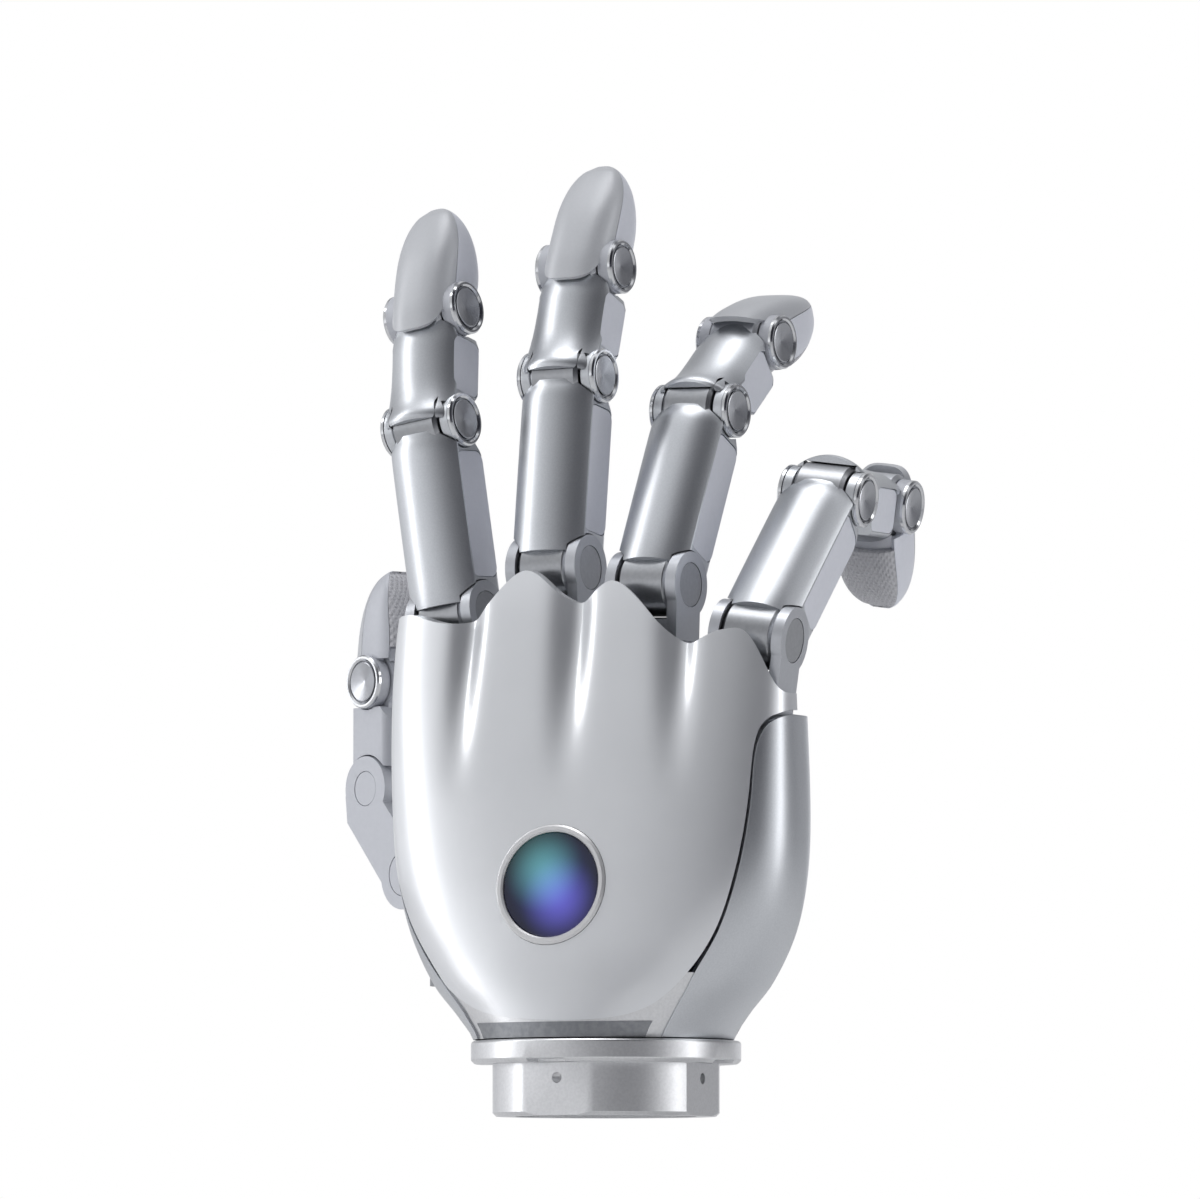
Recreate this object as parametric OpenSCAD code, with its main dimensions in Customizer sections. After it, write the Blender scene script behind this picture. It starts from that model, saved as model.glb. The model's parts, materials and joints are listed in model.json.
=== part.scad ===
// Right-hand dexterous robot hand with twenty hinge joints.
// Frame: origin at the centre of the wrist spigot's end face, +Z along the hand towards the
// fingertips, +Y out of the palm, +X towards the little finger. Units are millimetres.

/* [Wrist] */
// Diameter of the wrist spigot
spigot_d = 50.4; // [46:0.2:54]
// Height of the wrist spigot under the flange
spigot_h = 11.6; // [10:0.2:14]
// Wall of the hollow wrist spigot
spigot_wall = 5; // [3:0.5:7]
// Depth of the open connector well in the spigot
well_depth = 10; // [7:0.5:10.5]
// Distance between opposite flats on the spigot
spigot_flats = 47.8; // [45:0.2:50]
// Diameter of the radial screw holes in the flats
wrist_screw_d = 2.4; // [2:0.1:3]
// Height of the radial screw holes above the end face
wrist_screw_z = 8.2; // [6:0.2:9]
// Diameter of the wrist flange
flange_d = 60; // [58:0.5:64]
// Thickness of the wrist flange
flange_t = 5.1; // [3:0.1:8]

/* [Palm] */
// Half of the palm's greatest width
palm_half_w = 49.4; // [48:0.2:52]
// Wall of the palm's covers
cover_t = 2.2; // [1.6:0.1:3]
// Running gap between neighbouring covers
seam = 0.3; // [0.2:0.05:0.6]
// Depth of the grooves between the finger ridges at the top edge
groove_depth = 3.4; // [2:0.2:4.4]
// Height at which the grooves have died out
groove_end_z = 68; // [60:1:80]
// Distance between neighbouring spread pivots
pivot_pitch = 24.2; // [23.4:0.1:26]
// Height of the palm side cover's top edge
palm_top = 90; // [86:0.5:91]

/* [Display] */
// Outer diameter of the display's bezel
bezel_d = 26.8; // [24:0.2:30]
// Diameter of the display's window
window_d = 23.6; // [20:0.2:25]
// Height of the display's centre above the end face
display_z = 50.6; // [46:0.2:56]
// Sideways place of the display's centre
display_x = -1.5; // [-6:0.5:3]

/* [Fingers] */
// Distance from the knuckle axis to the middle joint axis
proximal_len = 44; // [40:0.5:52]
// Distance from the middle joint axis to the end joint axis
middle_len = 26.8; // [24:0.2:32]
// Distance from the end joint axis to the fingertip
tip_len = 26; // [24:0.5:30]
// Width of a finger across its side faces
finger_w = 16.8; // [16:0.2:17.2]
// Width of a hinge across its two ears
joint_w = 17.8; // [17.4:0.1:18.4]
// Depth of a finger behind its joint axes
finger_back = 8.2; // [7.8:0.1:8.8]
// Depth of a finger in front of its joint axes
finger_front = 7.6; // [7:0.1:8.2]
// Radius of the knuckle bracket's ears
ear_r = 7.4; // [7:0.1:7.6]
// Radius of the hinge barrel between two ears
barrel_r = 7.1; // [6.6:0.1:7.3]
// Radius of the joint caps and of the ears that carry them
cap_r = 6.1; // [5.6:0.1:6.4]
// Thickness of a joint cap
cap_t = 1; // [0.8:0.1:1.3]
// Thickness of an ear
ear_t = 2.5; // [2.2:0.1:2.8]
// Diameter of the hinge axles
axle_d = 5; // [4:0.2:6]
// Radial running clearance of the hinge axles
running = 0.05; // [0.03:0.01:0.08]
// Gap between faces that move past each other
gap = 0.35; // [0.3:0.05:0.5]
// Distance of the spread pivot below the knuckle axis
pivot_drop = 16; // [15.5:0.5:18]

/* [Pose] */
// Bend of the index finger's three joints
index_bend = [-2.5, 15, 0];
// Bend of the middle finger's three joints
middle_bend = [8, 11, 0];
// Bend of the ring finger's three joints
ring_bend = [24, 26, 14];
// Bend of the little finger's three joints
little_bend = [40.5, 48.5, 62];
// Sideways spread of the four fingers
spread = [-7.5, -0.6, 1.8, 8];
// Bend of the thumb's root, middle and end joints
thumb_bend = [0, 0, 0];

/* [Thumb] */
// Distance from the thumb's middle joint axis to its end joint axis
thumb_link_len = 24.4; // [24:0.1:30]
// Rise from the thumb's root axis to its middle joint axis
root_up = 20; // [18:0.5:24]
// Offset of the thumb's middle joint axis behind its root axis
root_back = 14; // [12:0.5:16]
// Height of the thumb's root axis above the wrist's end face
root_z = 55.6; // [54:0.2:58]
// Distance from the turntable's axis to the thumb's root axis
arm_len = 16.5; // [16:0.5:20]
// Radius of the thumb's turntable
turntable_r = 10.4; // [9.6:0.1:11]
// Height of the thumb's turntable
turntable_h = 22; // [20:0.5:24]

/* [Hidden] */
$fn = 64;
fingers = ["index", "middle", "ring", "little"];
finger_parts = ["knuckle_bracket", "knuckle_axle", "proximal_shell", "proximal_panels", "middle_shell",
    "middle_axle", "tip_core", "nail_cover", "tip_pad", "tip_axle"];
thumb_parts = ["thumb_turntable", "thumb_root_axle", "thumb_metacarpal", "thumb_knuckle_axle",
    "thumb_link_shell", "thumb_tip_core", "thumb_nail_cover", "thumb_tip_pad", "thumb_tip_axle"];
palm_parts = ["wrist_spigot", "wrist_flange", "palm_frame", "dorsal_cover", "ulnar_cover",
    "radial_cover", "palm_cover", "display_bezel", "display_screen", "spread_motors", "control_board"];

bends = [index_bend, middle_bend, ring_bend, little_bend];
// Height of each knuckle axis when the finger isn't spread, turn of each knuckle and its depth
knuckle_z = [112.1, 122.1, 117.8, 105.6];
knuckle_turn = [-7, -2.2, -2.7, 2.6];
knuckle_y = [0.9, -0.6, -0.3, -1.9];
pivot_x = [for (i = [0:3]) (i - 1.5) * pivot_pitch];
half_w = joint_w / 2;                // outer face of every ear
side_x = finger_w / 2;               // side face of every housing
ear_x = half_w - ear_t;              // inner face of every ear
barrel_x = ear_x - gap;              // half the width of every hinge barrel
axle_r = axle_d / 2;
bore_r = axle_r + running;
flange_z = spigot_h + flange_t;      // top of the flange, where the palm starts

// ---------- shared shapes ----------

function power(v, e) = sign(v) * pow(abs(v), e);
// A smooth curve through [position, value] pairs, level at both ends.
function slope_at(t, k) = k == 0 || k == len(t) - 1 ? 0
    : (t[k + 1][1] - t[k - 1][1]) / (t[k + 1][0] - t[k - 1][0]);
function span_of(t, x, k = 0) = k >= len(t) - 2 || x < t[k + 1][0] ? k : span_of(t, x, k + 1);
function hermite(t, x, k) = let (d = t[k + 1][0] - t[k][0], u = (x - t[k][0]) / d)
    t[k][1] * (1 + 2 * u) * pow(1 - u, 2) + t[k + 1][1] * u * u * (3 - 2 * u)
    + d * slope_at(t, k) * u * pow(1 - u, 2) - d * slope_at(t, k + 1) * u * u * (1 - u);
function curve(t, x) = x <= t[0][0] ? t[0][1] : x >= t[len(t) - 1][0] ? t[len(t) - 1][1]
    : hermite(t, x, span_of(t, x));

// A closed solid between two grids of points of the same size.
module thick_sheet(outer, inner) {
    rows = len(outer);
    cols = len(outer[0]);
    n = rows * cols;
    points = concat([for (r = outer) for (p = r) p], [for (r = inner) for (p = r) p]);
    front = [for (j = [0:rows - 2]) for (i = [0:cols - 2]) let (a = j * cols + i)
        each [[a, a + cols + 1, a + 1], [a, a + cols, a + cols + 1]]];
    back = [for (f = front) [f[0] + n, f[2] + n, f[1] + n]];
    edge = concat([for (i = [0:cols - 2]) i], [for (j = [0:rows - 2]) j * cols + cols - 1],
        [for (i = [cols - 1:-1:1]) (rows - 1) * cols + i], [for (j = [rows - 1:-1:1]) j * cols]);
    rim = [for (k = [0:len(edge) - 1]) let (a = edge[k], b = edge[(k + 1) % len(edge)])
        each [[a, b, b + n], [a, b + n, a + n]]];
    polyhedron(points, concat(front, back, rim));
}

// A closed solid through rings of points, capped at both ends.
module loft(rings) {
    m = len(rings[0]);
    k = len(rings);
    sides = [for (j = [0:k - 2]) for (i = [0:m - 1]) let (a = j * m + i, b = j * m + (i + 1) % m)
        each [[a, b + m, b], [a, a + m, b + m]]];
    polyhedron([for (r = rings) for (p = r) p],
        concat(sides, [[for (i = [0:m - 1]) i]], [[for (i = [m - 1:-1:0]) (k - 1) * m + i]]));
}

module rod(r, x0, x1) translate([x0, 0, 0]) rotate([0, 90, 0]) cylinder(r = r, h = x1 - x0);
module both_sides() {
    children();
    mirror([1, 0, 0]) children();
}
module rounded(w, y0, y1, r) {
    translate([-w / 2 + r, y0]) square([w - 2 * r, y1 - y0]);
    translate([-w / 2, y0 + r]) square([w, y1 - y0 - 2 * r]);
    for (x = [-w / 2 + r, w / 2 - r]) for (y = [y0 + r, y1 - r]) translate([x, y]) circle(r);
}

// ---------- frames of the moving parts ----------

module at_knuckle(i)
    translate([pivot_x[i], knuckle_y[i], knuckle_z[i] - pivot_drop]) rotate([0, 0, knuckle_turn[i]])
    rotate([0, spread[i], 0]) translate([0, 0, pivot_drop]) children();
module at_proximal(i) at_knuckle(i) rotate([-bends[i][0], 0, 0]) children();
module at_middle(i) at_proximal(i) translate([0, 0, proximal_len]) rotate([-bends[i][1], 0, 0]) children();
module at_tip(i) at_middle(i) translate([0, 0, middle_len]) rotate([-bends[i][2], 0, 0]) children();

// ---------- finger pieces, each drawn straight up from its own hinge axis ----------

crown_r = 13;                        // radius of a finger's rounded back
corner_r = 2.6;                      // radius of a finger's long edges
module finger_section() intersection() {
    rounded(finger_w, -finger_back, finger_front, corner_r);
    translate([0, crown_r - finger_back]) circle(crown_r);
}

// Fork that turns on the spread pivot in the palm and carries the finger's knuckle axle.
column_front = 4.4;                  // front face of the bracket, clear of the bent finger
web_top = -ear_r - 0.6;
web_half_d = 6.2;
web_foot = -pivot_drop + 3.5;
recess_r = 5;
recess_t = 0.5;
pivot_r = 2.5;
pivot_hub_r = 8;
module knuckle_bracket() color("lightsteelblue") difference() {
    union() {
        both_sides() {
            rod(ear_r, ear_x, half_w);
            translate([ear_x, -web_half_d, web_foot])
                cube([ear_t, web_half_d + column_front, web_top + 5 - web_foot]);
        }
        translate([-half_w, -web_half_d, web_foot])
            cube([joint_w, web_half_d + column_front, web_top - web_foot]);
        translate([0, -web_half_d, -pivot_drop]) rotate([-90, 0, 0])
            cylinder(r = pivot_hub_r, h = 2 * web_half_d);
    }
    rod(bore_r, -half_w - 1, half_w + 1);
    both_sides() rod(recess_r, half_w - recess_t, half_w + 1);
    translate([0, -10, -pivot_drop]) rotate([-90, 0, 0]) cylinder(r = pivot_r + running, h = 20);
}

module hinge_axle(head_r) {
    rod(axle_r, -half_w + recess_t, half_w - recess_t);
    both_sides() rod(head_r, half_w - recess_t, half_w - recess_t / 5);
}
module knuckle_axle() color("silver") hinge_axle(recess_r - 0.15);

// Housing of the first phalanx: hinge barrels at both ends and a recess for each side panel.
panel_t = 0.9;
panel_reveal = 0.15;
panel_from = 9;
panel_to = 9;
module side_plate(len, x0, x1) translate([x0, 0, 0]) rotate([90, 0, 90]) linear_extrude(x1 - x0)
    translate([(finger_front - 5) / 2, 0]) rounded(finger_front + 3.4, panel_from, len - panel_to, 2.4);

// Wedge that leaves room for the next phalanx to bend forward about the axis at z = 0.
module bend_relief(up, angle) rotate([up ? -angle / 2 : angle / 2, 0, 0])
    translate([-12, 0, up ? 0 : -14]) cube([24, 16, 14]);
middle_relief = 100;
tip_relief = 74;

// Block that ties a barrel at z = 0 to its housing above (up = 1) or below (up = 0).
module barrel_tie(up, len) translate([-barrel_x, -barrel_r + 2.8, up ? 0 : -len])
    cube([2 * barrel_x, 2 * barrel_r - 4.8, len]);
module phalanx_shell(len, back_start = 2, panels = true, top_room = 1.9) color("silver") difference() {
    union() {
        difference() {
            translate([0, 0, back_start]) linear_extrude(len - back_start - top_room) finger_section();
            both_sides() rod(ear_r + gap, barrel_x, half_w + 1);
            translate([-12, column_front - 2, -2]) cube([24, 12, 7]);
            translate([0, 0, len]) {
                both_sides() rod(cap_r + gap, barrel_x, half_w + 1);
                bend_relief(true, middle_relief);
            }
        }
        rod(barrel_r, -barrel_x, barrel_x);
        barrel_tie(1, 8);
        translate([0, 0, len]) rod(barrel_r, -barrel_x, barrel_x);
        translate([0, 0, len]) barrel_tie(0, 9);
    }
    rod(bore_r, -half_w, half_w);
    translate([0, 0, len]) rod(bore_r, -half_w, half_w);
    if (panels) both_sides() side_plate(len, side_x - panel_t, side_x + 1);
}
module side_panels(len) color("gainsboro")
    both_sides() side_plate(len, side_x - panel_t, side_x - panel_reveal);

// Housing of the second phalanx: a waisted back, a lip over the barrel below and two ears.
waist_r = 55;
waist_back = 7.1;
lip_back = 9.2;
lip_drop = 1;
nail_drop = 5.8;                     // room below the end joint for the nail cover's lower edge
module middle_shell() color("silver") difference() {
    union() {
        difference() {
            translate([0, 0, -lip_drop]) linear_extrude(middle_len - nail_drop + lip_drop) intersection() {
                rounded(finger_w, -lip_back, finger_front, corner_r);
                translate([0, crown_r - lip_back]) circle(crown_r);
            }
            translate([0, -waist_r - waist_back, middle_len * 0.56]) rod(waist_r, -12, 12);
            rod(barrel_r + gap, -ear_x, ear_x);
            translate([-12, -barrel_r + 1, -2]) cube([24, 24, 5]);
            bend_relief(false, middle_relief);
            translate([0, 0, middle_len]) {
                both_sides() rod(cap_r + gap, barrel_x, half_w + 1);
                bend_relief(true, tip_relief);
            }
        }
        both_sides() {
            rod(cap_r, ear_x, half_w);
            translate([ear_x, -cap_r + 0.8, 0]) cube([side_x - ear_x, 2 * cap_r - 3.4, 8]);
        }
        translate([0, 0, middle_len]) {
            rod(barrel_r, -barrel_x, barrel_x);
            barrel_tie(0, 9);
        }
    }
    rod(bore_r, -half_w - 1, half_w + 1);
    translate([0, 0, middle_len]) rod(bore_r, -half_w, half_w);
}

// Hinge axle with a bevelled ring and a sunk disc on each end.
ring_w = 1.1;
disc_sink = 0.35;
module cap() rotate([0, 90, 0]) rotate_extrude() polygon([[0, 0], [cap_r, 0], [cap_r, cap_t - 0.4],
    [cap_r - 0.4, cap_t], [cap_r - ring_w, cap_t], [cap_r - ring_w - 0.1, cap_t - disc_sink],
    [0, cap_t - disc_sink]]);
module capped_axle() color("gainsboro") {
    rod(axle_r, -half_w, half_w);
    both_sides() translate([half_w, 0, 0]) cap();
}

// Outer form of a fingertip: half width, back depth and front depth along its length.
tip_axis_front = 1.2;                // the tip's crown lies this far in front of the hinge axis
function tip_width(u) = (side_x - 0.2) * sqrt(1 - pow(max(0, (u - 0.34) / 0.66), 2.3));
function tip_back(u) = curve([[-0.2, 8.7], [0, 8.7], [0.4, 7.2], [0.72, 4.5], [0.9, 2.2], [1, 0]], u) + tip_axis_front;
function tip_front(u) = curve([[0, 7.0], [0.2, 8.2], [0.45, 8.3], [0.75, 5.6], [0.92, 2.6], [1, 0]], u) - tip_axis_front;
tip_squareness = 2.7;
// Point of the fingertip's skin: u along its length, t round it, and an inset from the skin.
function tip_point(u, t, inset, len) = let (k = 2 / tip_squareness)
    [max(0.05, tip_width(u) - inset) * power(cos(t), k),
     tip_axis_front + max(0.05, (sin(t) < 0 ? tip_back(u) : tip_front(u)) - inset) * power(sin(t), k),
     u * len - (u > 0.85 ? inset * (u - 0.85) / 0.15 : 0)];
// The nail, the pad and the core share their stations, so their faces stay parallel.
stations = [-0.2, -0.1, 0.02, 0.14, 0.28, 0.42, 0.54, 0.65, 0.75, 0.83, 0.89, 0.94, 0.985];
nail_edge = 14;                      // angle of the nail's long edges behind the widest line
pad_edge = 10;                       // angle of the pad's edges behind the widest line
nail_turns = [for (i = [0:12]) 180 + nail_edge + (180 - 2 * nail_edge) * i / 12];
pad_turns = [for (i = [0:13]) -pad_edge + (180 + 2 * pad_edge) * i / 13];
function tip_grid(turns, from, to, inset, len) = [for (j = [from:to])
    [for (t = turns) tip_point(stations[j], t, inset, len)]];

nail_t = 1.2;
pad_t = 2.6;
nail_room = 0.3;                     // between the nail and the ends of the hinge below it
module nail_cover(len = tip_len) color("whitesmoke") difference() {
    thick_sheet(tip_grid(nail_turns, 0, 12, 0, len), tip_grid(nail_turns, 0, 12, nail_t, len));
    rod(barrel_r + gap, -ear_x - nail_room, ear_x + nail_room);
    both_sides() rod(cap_r + nail_room, ear_x, half_w + 1);
}
module tip_pad(len = tip_len) color("lightgray")
    thick_sheet(tip_grid(pad_turns, 5, 12, 0, len), tip_grid(pad_turns, 5, 12, pad_t, len));
core_turns = concat([-pad_edge - 1], pad_turns, [181 + pad_edge], nail_turns);
function core_inset(t, u) = t > 181 + pad_edge ? nail_t + 0.15 : u < 0.4 ? 0.3 : pad_t + 0.15;
module tip_core(len = tip_len) color("silver") difference() {
    union() {
        difference() {
            loft([for (j = [1:11]) [for (t = core_turns)
                tip_point(stations[j], t, core_inset(t, stations[j]), len)]]);
            rod(barrel_r + gap, -ear_x, ear_x);
            both_sides() translate([ear_x - 0.01, -12, -6]) cube([ear_t + 1, 24, 6 + cap_r]);
            translate([-12, -20, -8]) cube([24, 20 - barrel_r + 1.2, 8]);
            bend_relief(false, tip_relief);
        }
        both_sides() {
            rod(cap_r, ear_x, half_w);
            translate([ear_x, -1, 0]) cube([side_x - ear_x - 0.6, cap_r - 1.4, 9]);
        }
    }
    rod(bore_r, -half_w - 1, half_w + 1);
}

// ---------- palm skin ----------

// Half width, depth of the back, depth of the palm side and squareness over the height.
width_line = [[16, 28.9], [22, 33], [29, 39.4], [39, 44.9], [50, 48], [63, palm_half_w],
    [92, palm_half_w], [112, palm_half_w - 1], [124, palm_half_w - 2.4]];
back_line = [[16, 28.6], [24, 28], [36, 26], [51, 24], [70, 21], [90, 17.2], [112, 14], [124, 13.4]];
front_line = [[16, 28.6], [24, 24.5], [36, 18.5], [51, 15.2], [70, 14.6], [124, 14.6]];
square_line = [[16, 2], [26, 2.15], [45, 2.6], [63, 2.9], [90, 3.2], [124, 3.2]];
lean_line = [[16, -0.6], [40, 0], [63, -0.6], [92, -1.8], [124, -1.8]];
// Grooves between the finger ridges: place round the palm and half width.
grooves = [[-0.36, 0.05], [0.009, 0.05], [0.369, 0.055]];
function groove(p, z) = groove_depth * curve([[groove_end_z, 0], [112, 1]], z)
    * max([for (g = grooves) exp(-pow((p - g[0]) / g[1], 2))]);
// Point on the palm: p runs from -1 (thumb side) over the back to 1 (little finger side) and
// on over the palm side to 3, which is -1 again.
function palm_point(p, z, inset) = let (q = sin(90 * p), c = cos(90 * p), n = curve(square_line, z),
    depth = c > 0 ? curve(back_line, z) - groove(p, z) : curve(front_line, z))
    [curve(lean_line, z) + (curve(width_line, z) - inset) * q,
     -sign(c) * (depth - inset) * pow(max(0, 1 - pow(abs(q), n)), 1 / n), z];
function palm_grid(inset, cols, rows, p, z) = [for (j = [0:rows]) [for (i = [0:cols])
    let (at = p(i / cols, j / rows)) palm_point(at, z(i / cols, j / rows, at), inset)]];

// Top edge and lower edge of the back cover, round the palm.
top_edge = [[-1, 110.8], [-0.7, 112.4], [-0.36, 110.3], [-0.16, 121], [0.009, 113.6],
    [0.15, 117.9], [0.37, 104.1], [0.54, 106.4], [0.66, 105.7], [0.84, 94.2], [1, 92.6]];
shield_edge = [[-1, 67.5], [-0.9, 61.5], [-0.8, 54], [-0.69, 42.7], [-0.606, 34.7], [-0.53, 27.9],
    [-0.38, 23.3], [-0.13, 21.2], [0.25, 21], [0.45, 23.9], [0.526, 30.4], [0.584, 40.1],
    [0.627, 53.2], [0.673, 68.6], [0.7, 80], [0.75, 85.5], [0.866, 88], [1, 88.9]];
back_end = 0.995;
cover_cols = 46;
cover_rows = 11;
function cover_p(s, v) = -1 + (1 + back_end) * s;
function cover_z(s, v, p) = let (low = curve(shield_edge, p)) low + (curve(top_edge, p) - low) * v;
module at_display() translate([display_x, 0.25 - curve(back_line, display_z), display_z])
    rotate([90 - display_tilt, 0, 0]) children();
display_tilt = 8;
bezel_fit = 0.1;
module dorsal_cover() color("whitesmoke") difference() {
    thick_sheet(palm_grid(0, cover_cols, cover_rows, function (s, v) cover_p(s, v),
            function (s, v, p) cover_z(s, v, p)),
        palm_grid(cover_t, cover_cols, cover_rows, function (s, v) cover_p(s, v),
            function (s, v, p) cover_z(s, v, p)));
    at_display() translate([0, 0, -6]) cylinder(d = bezel_d + 2 * bezel_fit, h = 12);
    knuckle_room();
}
// Room inside the covers for the outer two brackets over their whole spread.
room_w = joint_w + 2 * gap;
module knuckle_room() for (k = [[0, -13], [0, spread[0]], [3, spread[3]], [3, 13]])
    at_pivot(k[0]) rotate([0, k[1], 0]) {
        translate([0, 0, pivot_drop]) rod(ear_r + gap, -room_w / 2, room_w / 2);
        translate([-room_w / 2, -web_half_d - gap, -pivot_hub_r - gap])
            cube([room_w, 2 * web_half_d, pivot_drop + pivot_hub_r + gap]);
    }

// Side cover under the little finger, from its seam in the back to its seam in the palm.
side_seam = [[17, 0.573], [23, 0.563], [30.4, 0.547], [40.1, 0.584], [53.2, 0.627], [68.6, 0.673],
    [80, 0.7], [85, 0.76], [87, 0.85], [88, 0.96]];
seam_turn = seam / palm_half_w;      // the seam gap as a step round the palm
ulnar_end = 1.34;
palm_base = flange_z + 0.3;
side_top = 87.9;
function span(v) = palm_base + (side_top - palm_base) * (1 - pow(1 - v, 1.4));
function ulnar_p(s, v) = let (a = curve(side_seam, span(v)) + 2.5 * seam_turn) a + (ulnar_end - a) * s;
module ulnar_cover() color("silver") difference() {
    thick_sheet(
        palm_grid(0, 10, 14, function (s, v) ulnar_p(s, v), function (s, v, p) span(v)),
        palm_grid(cover_t, 10, 14, function (s, v) ulnar_p(s, v), function (s, v, p) span(v)));
    knuckle_room();
}

// Side cover by the thumb, a narrow strip that widens towards the wrist.
radial_end = -1.12;
radial_top = 108;
thumb_seam = [[17, -0.53], [23, -0.53], [27.9, -0.555], [34.7, -0.63], [42.7, -0.715], [54, -0.825],
    [60, -0.925], [66, -1.01], [110, -1.01]];
function radial_z(v) = palm_base + (radial_top - palm_base) * v;
function radial_p(s, v) = let (a = curve(thumb_seam, radial_z(v))) radial_end + (a - radial_end) * s;
module radial_cover() color("silver") difference() {
    thick_sheet(
        palm_grid(0, 6, 16, function (s, v) radial_p(s, v), function (s, v, p) radial_z(v)),
        palm_grid(cover_t, 6, 16, function (s, v) radial_p(s, v), function (s, v, p) radial_z(v)));
    knuckle_room();
}

// Cover of the palm side, cut back round the thumb's base.
thumb_gap = 2.386;
palm_end = 4 + radial_end - 8 * seam_turn;
palm_rows = [palm_base, 25, 28.6, 36, 46, 58, 70, 73.4, 82, palm_top];
palm_edge = [[17, palm_end], [25, palm_end], [28.6, thumb_gap], [70, thumb_gap], [73.4, palm_end],
    [91, palm_end]];
function palm_z(v) = palm_rows[round(v * (len(palm_rows) - 1))];
function palm_p(s, v) = let (a = ulnar_end + 2 * seam_turn) a + (curve(palm_edge, palm_z(v)) - a) * s;
module palm_cover() color("lightgray") thick_sheet(
    palm_grid(0, 22, 9, function (s, v) palm_p(s, v), function (s, v, p) palm_z(v)),
    palm_grid(cover_t, 22, 9, function (s, v) palm_p(s, v), function (s, v, p) palm_z(v)));

module display_bezel() color("white") at_display() rotate_extrude() polygon([
    [window_d / 2, -2], [bezel_d / 2, -2], [bezel_d / 2, 0.3], [bezel_d / 2 - 0.5, 0.7],
    [window_d / 2 + 0.3, 0.7], [window_d / 2, 0.2]]);
module display_screen() color("midnightblue") at_display() union() {
    translate([0, 0, -2]) cylinder(d = window_d - 2 * bezel_fit, h = 2.2);
    translate([0, 0, -3.4]) cylinder(d = bezel_d - 1, h = 1.4);
}

// ---------- inner frame ----------

lug_t = 1.6;
lug_r = 3.9;
lug_y = web_half_d + gap;            // inner face of the plates beside a spread pivot
beam_z = 74;
beam_t = 6;
beam_inset = cover_t + 0.9;
spine_y = -12;
spine_t = 5.5;
spine_half_w = 28;
boss_z = 30;
module at_pivot(i) translate([pivot_x[i], knuckle_y[i], knuckle_z[i] - pivot_drop])
    rotate([0, 0, knuckle_turn[i]]) children();
ring_points = 88;
function ring_p(i) = -1 + 4 * i / ring_points;
function ring_of(z, inset) = [for (i = [0:2:ring_points - 1]) palm_point(ring_p(i), z, inset)];
// The collar is flush with the covers at the back only, where it shows below the back cover.
function collar_inset(p) = p > -0.46 && p < 0.52 ? 0.25 : beam_inset;
function collar_ring(z) = [for (i = [0:ring_points - 1]) palm_point(ring_p(i), z, collar_inset(ring_p(i)))];
module palm_frame() color("darkgray") {
    loft([for (z = [palm_base, 19, 20.4]) collar_ring(z)]);
    translate([-22, spine_y, 20]) cube([44, -spine_y + 12, 8]);
    translate([-spine_half_w, spine_y, 27]) cube([2 * spine_half_w, spine_t, beam_z - 26]);
    loft([for (z = [beam_z, beam_z + beam_t]) ring_of(z, beam_inset)]);
    for (i = [0:3]) at_pivot(i) spread_clevis(knuckle_z[i] - pivot_drop - beam_z - beam_t);
    thumb_boss();
}
module spread_clevis(drop) {
    for (m = [0, 1]) mirror([0, m, 0]) translate([0, lug_y, 0]) {
        rotate([-90, 0, 0]) cylinder(r = lug_r, h = lug_t);
        translate([-lug_r, 0, -drop - 1]) cube([2 * lug_r, lug_t, drop + 1]);
    }
    rotate([-90, 0, 0]) translate([0, 0, -lug_y - 0.5]) cylinder(r = pivot_r, h = 2 * lug_y + 1);
}
turn_pin_r = 4;
module thumb_boss() {
    turn_z = root_z - turntable_h / 2;
    translate([turn_x, turn_y, boss_z]) cylinder(r = turntable_r + 0.4, h = turn_z - gap - boss_z);
    translate([turn_x, turn_y, boss_z]) cylinder(r = turn_pin_r, h = turn_z + turntable_h - boss_z - 1);
    translate([-36, spine_y + 3, boss_z + 2]) cube([12, 21, 9]);
}

motor_r = 5.5;
motor_h = 20;
module spread_motors() color("dimgray") for (x = pivot_x) translate([x, 0, beam_z - motor_h - 0.2]) {
    cylinder(r = motor_r, h = motor_h);
    translate([0, 0, -1.5]) cylinder(r = motor_r - 1.5, h = 2);
}
board_t = 1.6;
module control_board() color("darkgreen") union() {
    translate([-22, spine_y - board_t - 0.2, 34]) cube([44, board_t, 36]);
    translate([-12, spine_y - board_t - 1.6, 42]) cube([10, 2, 10]);
    translate([4, spine_y - board_t - 1.4, 56]) cube([12, 1.8, 8]);
}

// ---------- wrist ----------

flange_chamfer = 0.8;
module wrist_flange() color("silver") translate([0, 0, spigot_h]) difference() {
    rotate_extrude() polygon([[0, 0], [flange_d / 2 - flange_chamfer, 0], [flange_d / 2, flange_chamfer],
        [flange_d / 2, flange_t - 0.5], [flange_d / 2 - 0.5, flange_t], [0, flange_t]]);
    for (a = [0:90:270]) rotate([0, 0, a]) translate([-4.6, -flange_d / 2 - 1, -1])
        cube([9.2, (flange_d - spigot_flats) / 2 + 1, 1 + flange_chamfer]);
}
module wrist_spigot() color("silver") difference() {
    rotate_extrude() polygon([[0, 0.8], [0, 0], [spigot_d / 2 - 0.8, 0], [spigot_d / 2, 0.8],
        [spigot_d / 2, spigot_h], [0, spigot_h]]);
    for (a = [0:90:270]) rotate([0, 0, a]) {
        translate([-20, -spigot_d / 2 - 1, -1])
            cube([40, 1 + (spigot_d - spigot_flats) / 2, spigot_h + 2]);
        translate([0, 3 - spigot_d / 2 + spigot_wall, wrist_screw_z]) rotate([90, 0, 0])
            cylinder(d = wrist_screw_d, h = spigot_wall + 6);
    }
    translate([0, 0, -1]) cylinder(r = spigot_d / 2 - spigot_wall, h = well_depth + 1);
}

// ---------- thumb ----------

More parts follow.
